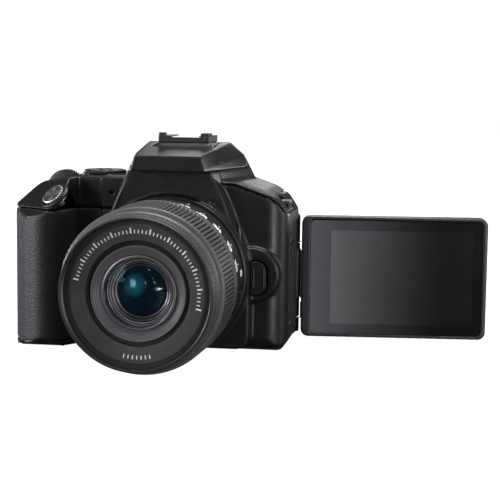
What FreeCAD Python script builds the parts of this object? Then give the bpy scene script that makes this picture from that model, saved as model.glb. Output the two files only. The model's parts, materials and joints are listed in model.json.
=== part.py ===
import FreeCAD, Part
import math
import os

import Sketcher
from FreeCAD import Placement, Rotation, Vector

# A compact single-lens reflex camera with its zoom lens on and its side-hinged screen folded out to face forwards.
#
# Millimetres. +X is the side of the screen hinge, -Y the way the lens looks, +Z up. The origin is the mouth of the
# tripod socket, on the base plane and under the optical axis.
#
# Every size is a cell of the spreadsheet Sizes. Class Size carries a cell's value together with its expression, so a
# sum written here stays a live expression in the document.

doc = FreeCAD.newDocument("ReflexCamera")
sheet = doc.addObject("Spreadsheet::Sheet", "Sizes")
cells = []  # aliases given so far, one row each
parts = {}  # node name to the document object that is the finished sub-part


class Size:
    """A number and the spreadsheet expression that gives it."""

    def __init__(self, text, value):
        self.text = text
        self.value = value

    def __add__(self, other):
        return Size(f"({self.text} + {text_of(other)})", self.value + value_of(other))

    def __radd__(self, other):
        return Size(f"({text_of(other)} + {self.text})", value_of(other) + self.value)

    def __sub__(self, other):
        return Size(f"({self.text} - {text_of(other)})", self.value - value_of(other))

    def __rsub__(self, other):
        return Size(f"({text_of(other)} - {self.text})", value_of(other) - self.value)

    def __mul__(self, other):
        return Size(f"({self.text} * {text_of(other)})", self.value * value_of(other))

    __rmul__ = __mul__

    def __truediv__(self, other):
        return Size(f"({self.text} / {text_of(other)})", self.value / value_of(other))

    def __neg__(self):
        return Size(f"(0 - {self.text})", -self.value)


def text_of(size):
    return size.text if isinstance(size, Size) else repr(float(size))


def value_of(size):
    return size.value if isinstance(size, Size) else float(size)


def cell(alias, value, meaning):
    """One row of the sheet: alias, value and what it measures."""
    row = len(cells) + 1
    sheet.set(f"A{row}", alias)
    sheet.set(f"B{row}", str(value))
    sheet.set(f"C{row}", meaning)
    sheet.setAlias(f"B{row}", alias)
    cells.append(alias)
    return Size(f"Sizes.{alias}", float(value))


# ---- driving dimensions ----

# the body
grip_side = cell("grip_side", -70, "outer face of the hand grip, X")
hinge_side = cell("hinge_side", 48.7, "outer face of the screen side, X")
body_front = cell("body_front", -22, "front face beside the lens, Y")
finger_well = cell("finger_well", -19, "front face between grip and lens, Y")
body_back = cell("body_back", 21.5, "rear face of the grip side and above the screen, Y")
shoulder_z = cell("shoulder_z", 73.6, "top plate beside the finder hump, Z")
seam_z = cell("seam_z", 60, "seam of the top cover on the grip side, Z")
base_z = cell("base_z", 2.2, "thickness of the base plate")
gap = cell("gap", 0.2, "gap along a seam or round a moving piece")
split_y = cell("split_y", 8, "seam between front and rear covers, Y")
# the front
axis_z = cell("axis_z", 33.8, "height of the optical axis")
tower_front = cell("tower_front", -30.5, "front face of the mirror box panel, Y")
collar_front = cell("collar_front", -34.5, "front edge of the collar round the lens mount, Y")
collar_r = cell("collar_r", 33.2, "outer radius of that collar")
flange_y = cell("flange_y", -33, "lens mount flange, Y")
throat_r = cell("throat_r", 27, "inner radius of the body's mount ring")
# the hand grip
grip_front = cell("grip_front", -40.5, "front of the hand grip, Y")
grip_inner = cell("grip_inner", -44, "side of the grip that faces the lens, X")
rubber = cell("rubber", 1, "thickness of the grip's rubber")
# the finder hump and the flash
hump_top = cell("hump_top", 87.9, "top of the hump, Z")
brow_front = cell("brow_front", -37.5, "front of the flash head, Y")
brow_top = cell("brow_top", 83.6, "top of the flash head's front face, Z")
flash_floor = cell("flash_floor", 77, "floor that the closed flash lies on, Z")
flash_pivot_y = cell("flash_pivot_y", 6, "flash hinge, Y")
flash_pivot_z = cell("flash_pivot_z", 83.2, "flash hinge, Z")
flash_arc = cell("flash_arc", 13, "radius about that hinge of the fixed block under the shoe")
flash_disc = cell("flash_disc", 6, "radius of the round ends of the flash arms")
platform_half = cell("platform_half", 13.5, "half of that block's width")
shoe_half = cell("shoe_half", 11.3, "half of the accessory shoe's width")
shoe_slot = cell("shoe_slot", 9.35, "half of the slot's width in the accessory shoe")
dial_x = cell("dial_x", -36.4, "axis of the mode dial, X")
dial_y = cell("dial_y", 2, "axis of the mode dial, Y")
dial_r = cell("dial_r", 9.3, "radius of the mode dial")
wheel_r = cell("wheel_r", 8, "radius of the finger wheel")
shutter_r = cell("shutter_r", 5, "radius of the shutter button")
# the screen
hinge_x = cell("hinge_x", 46.7, "swing axis of the screen, X")
hinge_y = cell("hinge_y", 19.9, "swing axis of the screen, Y")
hinge_r = cell("hinge_r", 2.7, "radius of the hinge's eyes")
screen_open = cell("screen_open", 5, "angle short of a half turn that the open screen keeps, degrees")
screen_start = cell("screen_start", 3.4, "swing axis to the near edge of the screen")
screen_wide = cell("screen_wide", 83, "length of the screen casing")
screen_tall = cell("screen_tall", 54.5, "height of the screen casing")
screen_thick = cell("screen_thick", 8.4, "thickness of the screen casing")
screen_mid = cell("screen_mid", 28, "middle of the screen, Z")
# the lens
lens_front = cell("lens_front", -95, "front edge of the lens, Y")
focus_front = cell("focus_front", -91.8, "front edge of the focus ring, Y")
focus_back = cell("focus_back", -85.6, "rear edge of the focus ring, Y")
zoom_front = cell("zoom_front", -84, "front edge of the zoom ring, Y")
zoom_back = cell("zoom_back", -44, "rear edge of the zoom ring, Y")
zoom_r = cell("zoom_r", 33.2, "outer radius of the zoom ring")
zoom_bore = cell("zoom_bore", 30.4, "bore of the zoom ring")
barrel_r = cell("barrel_r", 32, "outer radius of the fixed barrel")
bezel_r = cell("bezel_r", 29.8, "outer radius of the lens's front edge")
slide_r = cell("slide_r", 30.1, "outer radius of the barrel that slides out")
filter_r = cell("filter_r", 29, "radius of the filter thread")
focus_r = cell("focus_r", 31.3, "outer radius of the focus ring")
# small standard pieces
socket_r = cell("socket_r", 3.175, "radius of the quarter-inch tripod thread")
key_r = cell("key_r", 3.4, "radius of the round rear keys")
key_gap = cell("key_gap", 0.15, "gap round a key or button")


# ---- how solids are made ----

TURN = {
    "x": Rotation(Vector(0, 1, 0), 90),
    "y": Rotation(Vector(1, 0, 0), -90),
    "z": Rotation(),
}


def bind(thing, prop, size):
    """Drives a property, or one coordinate of a placement, from the sheet."""
    if isinstance(size, Size) or "." in prop:
        thing.setExpression(prop, text_of(size))
    else:
        setattr(thing, prop, float(size))


def place(thing, where):
    for letter, size in where.items():
        bind(thing, f"Placement.Base.{letter}", size)


def box(name, x, y, z):
    """A block between a low and a high plane on each axis."""
    solid = doc.addObject("Part::Box", name)
    for prop, letter, (low, high) in (("Length", "x", x), ("Width", "y", y), ("Height", "z", z)):
        bind(solid, prop, high - low)
        place(solid, {letter: low})
    return solid


def rod(name, radius, axis, span, at):
    """A cylinder along an axis over a span; at holds its other two coordinates in the order x, y, z."""
    solid = doc.addObject("Part::Cylinder", name)
    solid.Placement = Placement(Vector(), TURN[axis])
    bind(solid, "Radius", radius)
    bind(solid, "Height", span[1] - span[0])
    others = [letter for letter in "xyz" if letter != axis]
    place(solid, {axis: span[0], **dict(zip(others, at))})
    return solid


def slope(name, point, normal):
    """A large block that lies above the plane through a point, to cut away what is past it."""
    reach = 160
    solid = doc.addObject("Part::Box", name)
    solid.Length = solid.Width = solid.Height = reach
    turn = Rotation(Vector(0, 0, 1), Vector(*normal))
    solid.Placement = Placement(Vector(*point) + turn.multVec(Vector(-reach / 2, -reach / 2, 0)), turn)
    return solid


def draw(body, plane, corners, name="outline"):
    """A closed sketch of straight lines on one of the body's own planes, each corner held by two dimensions."""
    sketch = body.newObject("Sketcher::SketchObject", f"{body.Name}_{name}")
    role = plane.upper() + "_Plane"
    support = next(o for o in body.Origin.OriginFeatures if o.Role == role)
    sketch.AttachmentSupport = [(support, "")]
    sketch.MapMode = "FlatFace"
    points = [Vector(value_of(u), value_of(v), 0) for u, v in corners]
    for start, end in zip(points, points[1:] + points[:1]):
        sketch.addGeometry(Part.LineSegment(start, end), False)
    for i in range(len(points)):
        sketch.addConstraint(Sketcher.Constraint("Coincident", i, 2, (i + 1) % len(points), 1))
    for i, corner in enumerate(corners):
        for kind, size in zip(("DistanceX", "DistanceY"), corner):
            index = sketch.addConstraint(Sketcher.Constraint(kind, -1, 1, i, 1, value_of(size)))
            if isinstance(size, Size):
                sketch.setExpression(f"Constraints[{index}]", size.text)
    return sketch


def prism(name, plane, corners, span, rounds=None):
    """A polygon on plane xy, xz or yz, padded over a span of the third axis. rounds gives corner numbers by radius."""
    body = doc.addObject("PartDesign::Body", name)
    sketch = draw(body, plane, corners)
    bind(sketch, "AttachmentOffset.Base.z", -1 * span[1] if plane == "xz" else span[0])
    pad = body.newObject("PartDesign::Pad", f"{name}_pad")
    pad.Profile = sketch
    bind(pad, "Length", span[1] - span[0])
    body.Tip = pad
    for radius, numbers in (rounds or {}).items():
        round_corners(body, plane, [corners[i] for i in numbers], radius)
    return body


def round_corners(body, plane, corners, radius):
    """Fillets the edges that stand on the given corners of a prism."""
    doc.recompute()
    tip = body.Tip
    found = []
    for number, edge in enumerate(tip.Shape.Edges, 1):
        ends = [[getattr(v.Point, letter) for letter in plane] for v in edge.Vertexes]
        if len(ends) < 2:
            continue
        for u, v in corners:
            here = (value_of(u), value_of(v))
            if all(math.dist(end, here) < 0.001 for end in ends):
                found.append(f"Edge{number}")
    fillet = body.newObject("PartDesign::Fillet", f"{body.Name}_fillet")
    fillet.Base = (tip, found)
    bind(fillet, "Radius", radius)
    body.Tip = fillet


def turned(name, axis, profile, at):
    """A turned piece: the profile is (along, radius) about an axis, and at gives the axis's place."""
    body = doc.addObject("PartDesign::Body", name)
    plane, corners, line = {
        "y": ("yz", profile, "H_Axis"),
        "x": ("xz", profile, "H_Axis"),
        "z": ("xz", [(radius, along) for along, radius in profile], "V_Axis"),
    }[axis]
    sketch = draw(body, plane, corners)
    spin = body.newObject("PartDesign::Revolution", f"{name}_turn")
    spin.Profile = sketch
    spin.ReferenceAxis = (sketch, [line])
    spin.Angle = 360
    body.Tip = spin
    place(body, at)
    return body


def loft(name, sections):
    """A ruled loft through outlines on xz planes; sections are (y, corners)."""
    body = doc.addObject("PartDesign::Body", name)
    sketches = []
    for number, (y, corners) in enumerate(sections):
        sketch = draw(body, "xz", corners, f"section{number}")
        bind(sketch, "AttachmentOffset.Base.z", -1 * y)
        sketches.append(sketch)
    skin = body.newObject("PartDesign::AdditiveLoft", f"{name}_loft")
    skin.Profile = sketches[0]
    skin.Sections = sketches[1:]
    skin.Ruled = True
    body.Tip = skin
    return body


def fuse(name, *solids):
    made = doc.addObject("Part::MultiFuse", name)
    made.Shapes = list(solids)
    return made


def common(name, *solids):
    made = doc.addObject("Part::MultiCommon", name)
    made.Shapes = list(solids)
    return made


def cut(name, base, *tools):
    made = doc.addObject("Part::Cut", name)
    made.Base = base
    made.Tool = tools[0] if len(tools) == 1 else fuse(f"{name}_tools", *tools)
    return made


def keep(name, solid):
    """Names a finished sub-part; its label is its file's name."""
    solid.Label = name
    parts[name] = solid
    return solid


def both_sides(x_half, centre=0):
    """A span on both sides of a centre."""
    return (centre - x_half, centre + x_half)


# ---- places shared by a well and the piece in it ----

RELEASE_ROOM = [(33.4, 24.8), (40.5, 24.8), (40.5, 39.5), (33.4, 39.5)]
RELEASE = [(33.7, 25.1), (40.2, 25.1), (40.2, 39.2), (33.7, 39.2)]
RELEASE_ROUND = 4.4
REAR_KEYS = {  # name: radius of the key, and its x and z
    "cross_keys": (10, (-53.2, 28)),
    "live_view_button": (3.2, (-46.6, 49.6)),
    "ae_lock_button": (key_r, (-48, 61.2)),
    "playback_button": (2.8, (-47.4, 12)),
    "erase_button": (2.8, (-59.6, 12)),
    "menu_button": (2.6, (-33, 61)),
    "info_button": (2.6, (-25, 61)),
}
FOOT_SCREWS = [(40, -10), (40, 8), (-20, -12), (-30, 10), (22, -12)]
MOUNT_SCREWS = [(20.6, axis_z + 20.6), (-20.6, axis_z + 20.6), (20.6, axis_z - 20.6), (-20.6, axis_z - 20.6)]


def tilted_rod(name, radius, span):
    """A cylinder about the shutter button's axis; the span is measured from the grip's sloped top."""
    solid = doc.addObject("Part::Cylinder", name)
    bind(solid, "Radius", radius)
    bind(solid, "Height", span[1] - span[0])
    axis = Vector(SHUTTER_AXIS).normalize()
    solid.Placement = Placement(SHUTTER_AT + axis * value_of(span[0]), Rotation(Vector(0, 0, 1), axis))
    return solid


# ---- outlines of the body ----

GRIP = [
    (grip_side, split_y), (grip_side, -20), (-67.6, -29), (-61.6, -36.6), (-54.5, grip_front), (-48.5, -39),
    (grip_inner - 0.5, -32), (grip_inner + 1, -19), (grip_inner + 1, split_y),
]
GRIP_CORE = [
    (grip_side + rubber, split_y + 1), (grip_side + rubber, -20), (-66.7, -28.4), (-61, -35.8),
    (-54.4, grip_front + rubber), (-49.2, -38.1), (grip_inner - 1.4, -31.8), (grip_inner - 0.1, -18.5),
    (grip_inner - 0.1, split_y + 1),
]
GRIP_ROOM = [
    (grip_side + 3, 0), (grip_side + 3, -19.6), (-65.2, -27.6), (-60.2, -33.8), (-54.2, grip_front + 3.2),
    (-50.6, -36.2), (grip_inner - 3.6, -31.2), (grip_inner - 2.4, -15), (grip_inner - 2.4, 0),
]
TOWER = [
    (-33.5, 2.4), (-33.5, 38), (-27, 57), (-18.5, flash_floor), (16.5, flash_floor), (21.5, 68), (26.5, 55),
    (33.5, 38), (33.5, 2.4),
]
SHOULDER_AT = (35, -22, 69.2)  # the sloped facet of the shoulder on the screen side
SHOULDER_FACING = (0.33, -0.12, 0.94)
SHUTTER_AT = Vector(-50, -32.6, 65.9)
SHUTTER_AXIS = Vector(-0.42, -0.57, 0.71)


def trunk():
    """The main block, common to three outlines."""
    plan = prism("trunk_plan", "xy", [
        (grip_side, body_back), (grip_side, finger_well), (-32, finger_well), (-32, body_front),
        (hinge_side, body_front), (hinge_side, body_back),
    ], (0, 80), {6: [0], 9: [4], 4: [5]})
    front = prism("trunk_front", "xz", [
        (grip_side, 0), (grip_side, seam_z), (-69, 61.5), (-60.5, 69.6), (-57, 71.3), (-45, shoulder_z - 0.6),
        (-30, shoulder_z), (28, shoulder_z - 1.2), (38, 68.9), (43.8, 65.4), (hinge_side, 58.5), (hinge_side, 0),
    ], (-50, 40), {5: [0], 6: [8, 9, 11], 10: [3, 4]})
    side = prism("trunk_side", "yz", [
        (body_front, 0), (body_front, 90), (body_back + 0.5, 90), (body_back + 0.5, 0),
    ], (-90, 90), {6.5: [0], 2: [3]})
    block = common("trunk_block", plan, front, side)
    return cut("trunk", block, slope("trunk_brow", SHOULDER_AT, SHOULDER_FACING))


def grip():
    """The hand grip with its sloped top and rounded foot."""
    plan = prism("grip_plan", "xy", GRIP, (0, 80), {7: [2, 3, 4, 5], 5: [6]})
    outline = doc.getObject("trunk_front")
    block = common("grip_block", plan, outline)
    return cut(
        "grip", block,
        slope("grip_top", tuple(SHUTTER_AT), tuple(SHUTTER_AXIS)),
        slope("grip_toe", (-58, -38, 3.4), (0, -0.7, -0.71)),
        slope("grip_sole", (-58, -18, 0), (0, -0.11, -0.994)),
    )


def hump():
    """The finder hump, its front being the flash's brow."""
    skin = loft("hump_skin", [
        (brow_front, [(-16.5, 70), (-15.6, 78), (-14, brow_top), (14, brow_top), (15.6, 78), (16.5, 70)]),
        (12, [(-32.2, 68), (-24.8, 82.4), (-18.4, hump_top), (18.4, hump_top), (24.8, 82.4), (32.2, 68)]),
        (body_back - 1, [(-27, 60), (-22, 77), (-17, 83), (17, 83), (22, 77), (27, 60)]),
    ])
    block = box("shoe_block", both_sides(shoe_half + 0.4), (-3.4, 18.4), (78, hump_top))
    return fuse("hump", skin, block)


def screen_room(name, top=56):
    """Where the closed screen and its hinge turn."""
    return fuse(
        name,
        box(f"{name}_rest", (-40.6, hinge_x), (15.4, 40), (-1, top)),
        rod(f"{name}_turn", 5.7, "z", (-1, top), (hinge_x, hinge_y)),
    )


body_trunk = trunk()
body_grip = grip()
body_hump = hump()
tower = prism("tower", "xz", TOWER, (tower_front, -14), {5: [0, 8], 15: [1, 7]})
collar = rod("collar", collar_r, "y", (collar_front, -20), (0, axis_z))
boss = rod("release_boss", 11.6, "y", (-24.6, -19), (34, 33.4))
fixed_hump = cut("fixed_hump", body_hump, box("brow_room", (-60, 60), (-60, tower_front), (60, flash_floor)))
outside = fuse("outside", body_trunk, body_grip, fixed_hump, tower)
dial_room = rod("dial_room", dial_r + 1.1, "z", (72.4, 100), (dial_x, dial_y))


# ---- covers ----

def rooms(name):
    """The hollow inside of the body."""
    return fuse(
        name,
        box(f"{name}_trunk", (grip_side + 2.4, hinge_side - 2.6), (-17, 13.2), (base_z + gap, 57)),
        box(f"{name}_rear", (grip_side + 4, -42.8), (0, 18.6), (base_z + gap, 57)),
        prism(f"{name}_grip", "xy", GRIP_ROOM, (base_z + gap, 57)),
        box(f"{name}_tower", both_sides(20), (-28.5, -10), (8, 56)),
        box(f"{name}_brow", both_sides(16), (-28.5, -10), (50, 74.8)),
        box(f"{name}_hump", both_sides(20), (-12, 16), (56, 74.8)),
        box(f"{name}_top", (-56.5, -26), (-17, 13), (56, 69.8)),
    )


def shoulder_front(name, below, near, back):
    """What lies in front of the top cover on the screen side: up to a little below the shoulder's own faces."""
    x, y, z = SHOULDER_AT
    block = prism(f"{name}_block", "xz", [
        (near, 50), (near, shoulder_z - 1 - below), (28, shoulder_z - 1.2 - below), (38, 68.9 - below),
        (43.8, 65.4 - below), (hinge_side + 2, 55.5 - below), (hinge_side + 2, 50),
    ], (-60, back))
    return cut(name, block, slope(f"{name}_top", (x, y, z - below), SHOULDER_FACING))


def front_cover():
    shell = fuse("front_shell", common(
        "front_share", fuse("front_outside", outside, collar),
        fuse(
            "front_region",
            box("front_low", (-90, 90), (-60, split_y), (base_z + gap, seam_z - gap)),
            box("front_tower", both_sides(34.4), (-60, -22.2), (50, flash_floor)),
            shoulder_front("front_shoulder", 1.6, 20 + gap, split_y - 1 - gap),
        ),
    ), common("boss_right", boss, box("boss_side", (0, 60), (-30, 0), (0, 60))))
    hollow = cut(
        "front_hollow", shell, rooms("front_rooms"),
        rod("mount_room", collar_r - 2.2, "y", (-40, -24), (0, axis_z)),
        prism("release_room", "xz", RELEASE_ROOM, (-30, -10), {RELEASE_ROUND + 0.3: [1, 2]}),
        rod("pin_room", 1.5, "y", (-40, -10), (28.9, axis_z)),
        rod("tower_pit", 1, "y", (-40, tower_front + 0.8), (17.6, 64)),
        box("terminal_room", (hinge_side - 2.7, 60), (-12, 5.2), (11.8, 45.2)),
        rod("terminal_turn", 1.1, "z", (11.8, 45.2), (hinge_side - 0.9, -12)),
        box("terminal_swing_room", (hinge_side - 0.9, 60), (-13.4, -11), (11.8, 45.2)),
        box("front_lug_room", (41.8, 60), (-9, -1), (60.6, 70)),
    )
    return keep("front_cover", cut("front_cover", hollow, parts["grip_rubber"], *socket_hole("front")))


def socket_hole(name):
    return [rod(f"{name}_socket_room", 7.2, "z", (-5, base_z + 5.4), (0, 0))]


def grip_rubber():
    skin = cut(
        "rubber_skin",
        common("rubber_outside", body_grip, box("rubber_region", (-90, -30), (-60, split_y), (4, seam_z - gap))),
        prism("rubber_core", "xy", GRIP_CORE, (0, 80), {6: [2, 3, 4, 5], 4: [6]}),
    )
    return keep("grip_rubber", cut("grip_rubber", skin, box("rubber_end", (-46, -30), (-18.9, 20), (0, 80))))


def rear_cover():
    shell = common("rear_share", outside, box("rear_region", (-90, 90), (split_y + gap, 40), (base_z + gap, 66)))
    hollow = cut(
        "rear_hollow", shell, rooms("rear_rooms"), screen_room("rear_screen"),
        *[rod(f"{name}_well", radius + key_gap, "y", (15, 40), at) for name, (radius, at) in REAR_KEYS.items()],
        box("thumb_room", (-66.2, -51.8), (20.2, 40), (42.8, 58.2)),
        rod("rear_eyepiece", 6.1, "y", (10, 40), (0, 70.6)),
        rod("dioptre_well", 3.2, "y", (17, 40), (20.5, 64.4)),
    )
    lugs = [
        fuse(
            f"lug_{number}",
            rod(f"lug_{number}_eye", hinge_r, "z", span, (hinge_x, hinge_y)),
            box(f"lug_{number}_web", (hinge_x - hinge_r, hinge_side - 0.5), (12.4, hinge_y - 1), span),
        )
        for number, span in enumerate([(base_z + gap, 9), (43, 55.8)])
    ]
    solid = fuse("rear_solid", hollow, *lugs)
    return keep("rear_cover", cut("rear_cover", solid, rod("hinge_pin_room", 1.3, "z", (6, 46), (hinge_x, hinge_y))))


def bottom_cover():
    plate = common("bottom_share", fuse("bottom_outside", body_trunk, body_grip),
                   box("bottom_region", (-90, 90), (-60, 40), (0, base_z)))
    return keep("bottom_cover", cut(
        "bottom_cover", plate, screen_room("bottom_screen"),
        box("door_room", (-66.2, -47.9), (-27.2, 4.2), (-1, 5)),
        rod("door_turn", 1.3, "y", (-27.2, 4.2), (-47.9, 1.1)),
        box("door_swing_room", (-48, -46.5), (-27.2, 4.2), (-1, 1.1)),
        rod("socket_mouth", 6.8, "z", (-1, 5), (0, 0)),
        *[rod(f"foot_screw_{n}", 1.3, "z", (-1, 5), at) for n, at in enumerate(FOOT_SCREWS)],
    ))


def top_cover():
    region = fuse(
        "top_region",
        box("top_front", (-90, 90), (-60, split_y), (seam_z, 120)),
        box("top_rear", (-90, 90), (split_y - 1, 40), (66 + gap, 120)),
    )
    shell = common("top_share", outside, region)
    hollow = cut(
        "top_hollow", shell, rooms("top_rooms"), dial_room, flash_room("top"),
        box("tower_share", both_sides(34.5), (-60, -22), (50, flash_floor + 1)),
        shoulder_front("top_shoulder", 1.4, 20, split_y - 1),
        box("wheel_room", both_sides(wheel_r + 0.3, -50.5), (-14.8, -7.2), (57, 90)),
        rod("dial_stem_room", 4.2, "z", (60, 90), (dial_x, dial_y)),
        tilted_rod("shutter_room", shutter_r + key_gap, (-12, 8)),
        rod("iso_room", 2.6 + key_gap, "z", (68, 90), (-53, -2.2)),
        rod("eyepiece_room", 6.1, "y", (10, 40), (0, 70.6)),
        rod("ear_room", 0.8, "y", (-40, -19), (-27.6, 66.5)),
        box("lug_room_right", (41.8, 60), (-9, -1), (60.6, 66.6)),
        box("lug_room_left", (-90, -63.4), (-9, -1), (60.6, 66.6)),
        rod("top_dioptre_well", 3.2, "y", (17, 40), (20.5, 64.4)),
    )
    return keep("top_cover", hollow)


def flash_room(name):
    """Where the closed flash lies: above its floor, in front of its hinge and beside the block under the shoe."""
    return fuse(
        f"{name}_flash_room",
        cut(
            f"{name}_flash_front",
            box(f"{name}_flash_space", (-60, 60), (-60, flash_pivot_y), (flash_floor, 120)),
            common(
                f"{name}_platform",
                rod(f"{name}_platform_arc", flash_arc, "x", (-40, 40), (flash_pivot_y, flash_pivot_z)),
                box(f"{name}_platform_width", both_sides(platform_half), (-60, 30), (60, 120)),
            ),
        ),
        *[
            rod(f"{name}_arm_room_{side}", flash_disc + 0.25, "x", span, (flash_pivot_y, flash_pivot_z))
            for side, span in (("right", (platform_half, 60)), ("left", (-60, -platform_half)))
        ],
    )


def flash_head():
    space = fuse(
        "flash_space",
        cut(
            "flash_space_front",
            box("flash_box", (-60, 60), (-60, flash_pivot_y), (flash_floor + gap, 120)),
            common(
                "flash_platform",
                rod("flash_platform_arc", flash_arc + gap, "x", (-40, 40), (flash_pivot_y, flash_pivot_z)),
                box("flash_platform_width", both_sides(platform_half + gap), (-60, 30), (60, 120)),
            ),
        ),
        *[
            rod(f"flash_arm_{side}", flash_disc, "x", span, (flash_pivot_y, flash_pivot_z))
            for side, span in (("right", (platform_half + gap, 60)), ("left", (-60, -platform_half - gap)))
        ],
    )
    head = common("flash_solid", body_hump, space)
    return keep("flash_head", cut(
        "flash_head", head,
        rod("flash_dial_room", dial_r + 1.1, "z", (72.4, 78), (dial_x, dial_y)),
        box("flash_window_room", both_sides(13), (-36.4, -31.2), (flash_floor, 79.4)),
        box("flash_lamp_room", both_sides(12), (-36.4, -20), (79.2, 82)),
        rod("flash_pivot_room", 1, "x", (-20, 20), (flash_pivot_y, flash_pivot_z)),
    ))


# ---- fixed pieces inside the body ----

def flash_window():
    keep("flash_window", box("flash_window", both_sides(12.8), (-36.2, -31.4), (flash_floor + gap, 79.2)))


def mirror_box():
    walls = fuse(
        "mirror_walls",
        rod("mirror_flange", collar_r - 2.4, "y", (flange_y + 4.9, -24.2), (0, axis_z)),
        box("mirror_block", both_sides(17.5), (-25, 1.2), (19.5, 49)),
    )
    keep("mirror_box", cut(
        "mirror_box", walls,
        box("mirror_passage", both_sides(15.6), (-40, 10), (21.5, 46.2)),
        box("screen_passage", both_sides(13.6), (-23.4, -3), (40, 60)),
        rod("mirror_throat", 20.8, "y", (-40, -24), (0, axis_z)),
        box("screen_seat", both_sides(15), (-24, -2.4), (46.4, 48)),
        rod("mirror_axle_room", 0.9, "x", (-16.8, 16.8), (-4, 44.5)),
        rod("mirror_pin_room", 1.5, "y", (-40, -20), (28.9, axis_z)),
        *[rod(f"mirror_screw_{n}", 0.8, "y", (-40, -20), at) for n, at in enumerate(MOUNT_SCREWS)],
    ))


def body_mount_ring():
    ring = turned("mount_ring", "y", [
        (flange_y, throat_r), (flange_y, collar_r - 2.4), (flange_y + 4.8, collar_r - 2.4),
        (flange_y + 4.8, 21), (flange_y + 3.8, 21), (flange_y + 3.8, throat_r),
    ], {"z": axis_z})
    keep("body_mount_ring", cut(
        "body_mount_ring", ring,
        *[rod(f"ring_screw_{n}", 0.8, "y", (-40, -20), at) for n, at in enumerate(MOUNT_SCREWS)],
        *[rod(f"ring_head_{n}", 1.5, "y", (-40, flange_y + 1.2), at) for n, at in enumerate(MOUNT_SCREWS)],
        rod("ring_pin_room", 1.5, "y", (-40, -20), (28.9, axis_z)),
    ))


def screws():
    pieces = []
    for n, at in enumerate(MOUNT_SCREWS):
        pieces.append(fuse(
            f"mount_screw_{n}",
            rod(f"mount_screw_{n}_head", 1.4, "y", (flange_y + 0.1, flange_y + 1.2), at),
            rod(f"mount_screw_{n}_shank", 0.75, "y", (flange_y + 1.1, flange_y + 7), at),
        ))
    for n, at in enumerate(FOOT_SCREWS):
        pieces.append(cut(
            f"case_screw_{n}",
            rod(f"case_screw_{n}_head", 1.2, "z", (0.2, base_z), at),
            box(f"case_screw_{n}_slot_a", both_sides(0.8, at[0]), both_sides(0.15, at[1]), (0, 1)),
            box(f"case_screw_{n}_slot_b", both_sides(0.15, at[0]), both_sides(0.8, at[1]), (0, 1)),
        ))
    group = doc.addObject("Part::Compound", "screws")
    group.Links = pieces
    keep("screws", group)


def finder():
    keep("focusing_screen", box("focusing_screen", both_sides(14.8), (-23.8, -2.6), (46.5, 47.9)))
    keep("pentamirror", prism("pentamirror", "yz", [
        (-24, 49.2), (-24, 60), (-16, 73.6), (0, 74.2), (10, 70), (12, 65.6), (9, 63.6), (1.2, 62.6), (1.2, 49.2),
    ], both_sides(15)))
    keep("eyepiece_lens", rod("eyepiece_lens", 6, "y", (16.2, 20.8), (0, 70.6)))


def eyecup():
    cup = prism("eyecup_block", "xz", [
        (-16.5, 65), (-16.5, 76), (-12.5, 80.5), (12.5, 80.5), (16.5, 76), (16.5, 65), (13, 61.8), (-13, 61.8),
    ], (body_back + 0.3, 29.8), {4: [1, 4, 2, 3], 3: [0, 5, 6, 7]})
    keep("eyecup", cut("eyecup", cup, box("eyecup_window", both_sides(9), (10, 40), (66, 75.4))))


def shutter():
    frame = box("shutter_plate", both_sides(19), (1.6, 6.4), (5.4, 62))
    keep("shutter_frame", cut(
        "shutter_frame", frame,
        box("shutter_gate", both_sides(12), (0, 10), (25.4, 42.2)),
        box("shutter_track", both_sides(14.2), (2.6, 5.4), (7.3, 61)),
        rod("shutter_foot_room", 6.9, "z", (0, 7.15), (0, 0)),
    ))
    keep("shutter_front_curtain", box("shutter_front_curtain", both_sides(13.8), (2.9, 3.6), (24.8, 42.8)))
    keep("shutter_rear_curtain", box("shutter_rear_curtain", both_sides(13.8), (4.3, 5), (42.7, 60.9)))


def electronics():
    sensor = fuse(
        "sensor_block",
        box("sensor_package", both_sides(15.5), (9.4, 12.2), (22, 45.6)),
        box("sensor_glass", both_sides(12.6), (8.6, 9.5), (24.6, 43)),
    )
    keep("image_sensor", sensor)
    board = box("board_plate", (21, 44), (7, 8.4), (6, 54))
    chips = box("board_chip", (25, 39), (8.3, 9.8), (30, 44))
    ports = box("board_ports", (40, 45.4), (-10, 3), (14, 43))
    keep("main_board", fuse("main_board", board, chips, box("board_side", (39, 40.1), (-10, 7.1), (10, 50)), ports))
    keep("battery", box("battery", (-65.4, -50.2), (-25, 9), (base_z + 1.8, 53)))
    keep("memory_card", box("memory_card", (-65.6, -44), (10.4, 12.5), (12, 44)))


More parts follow.
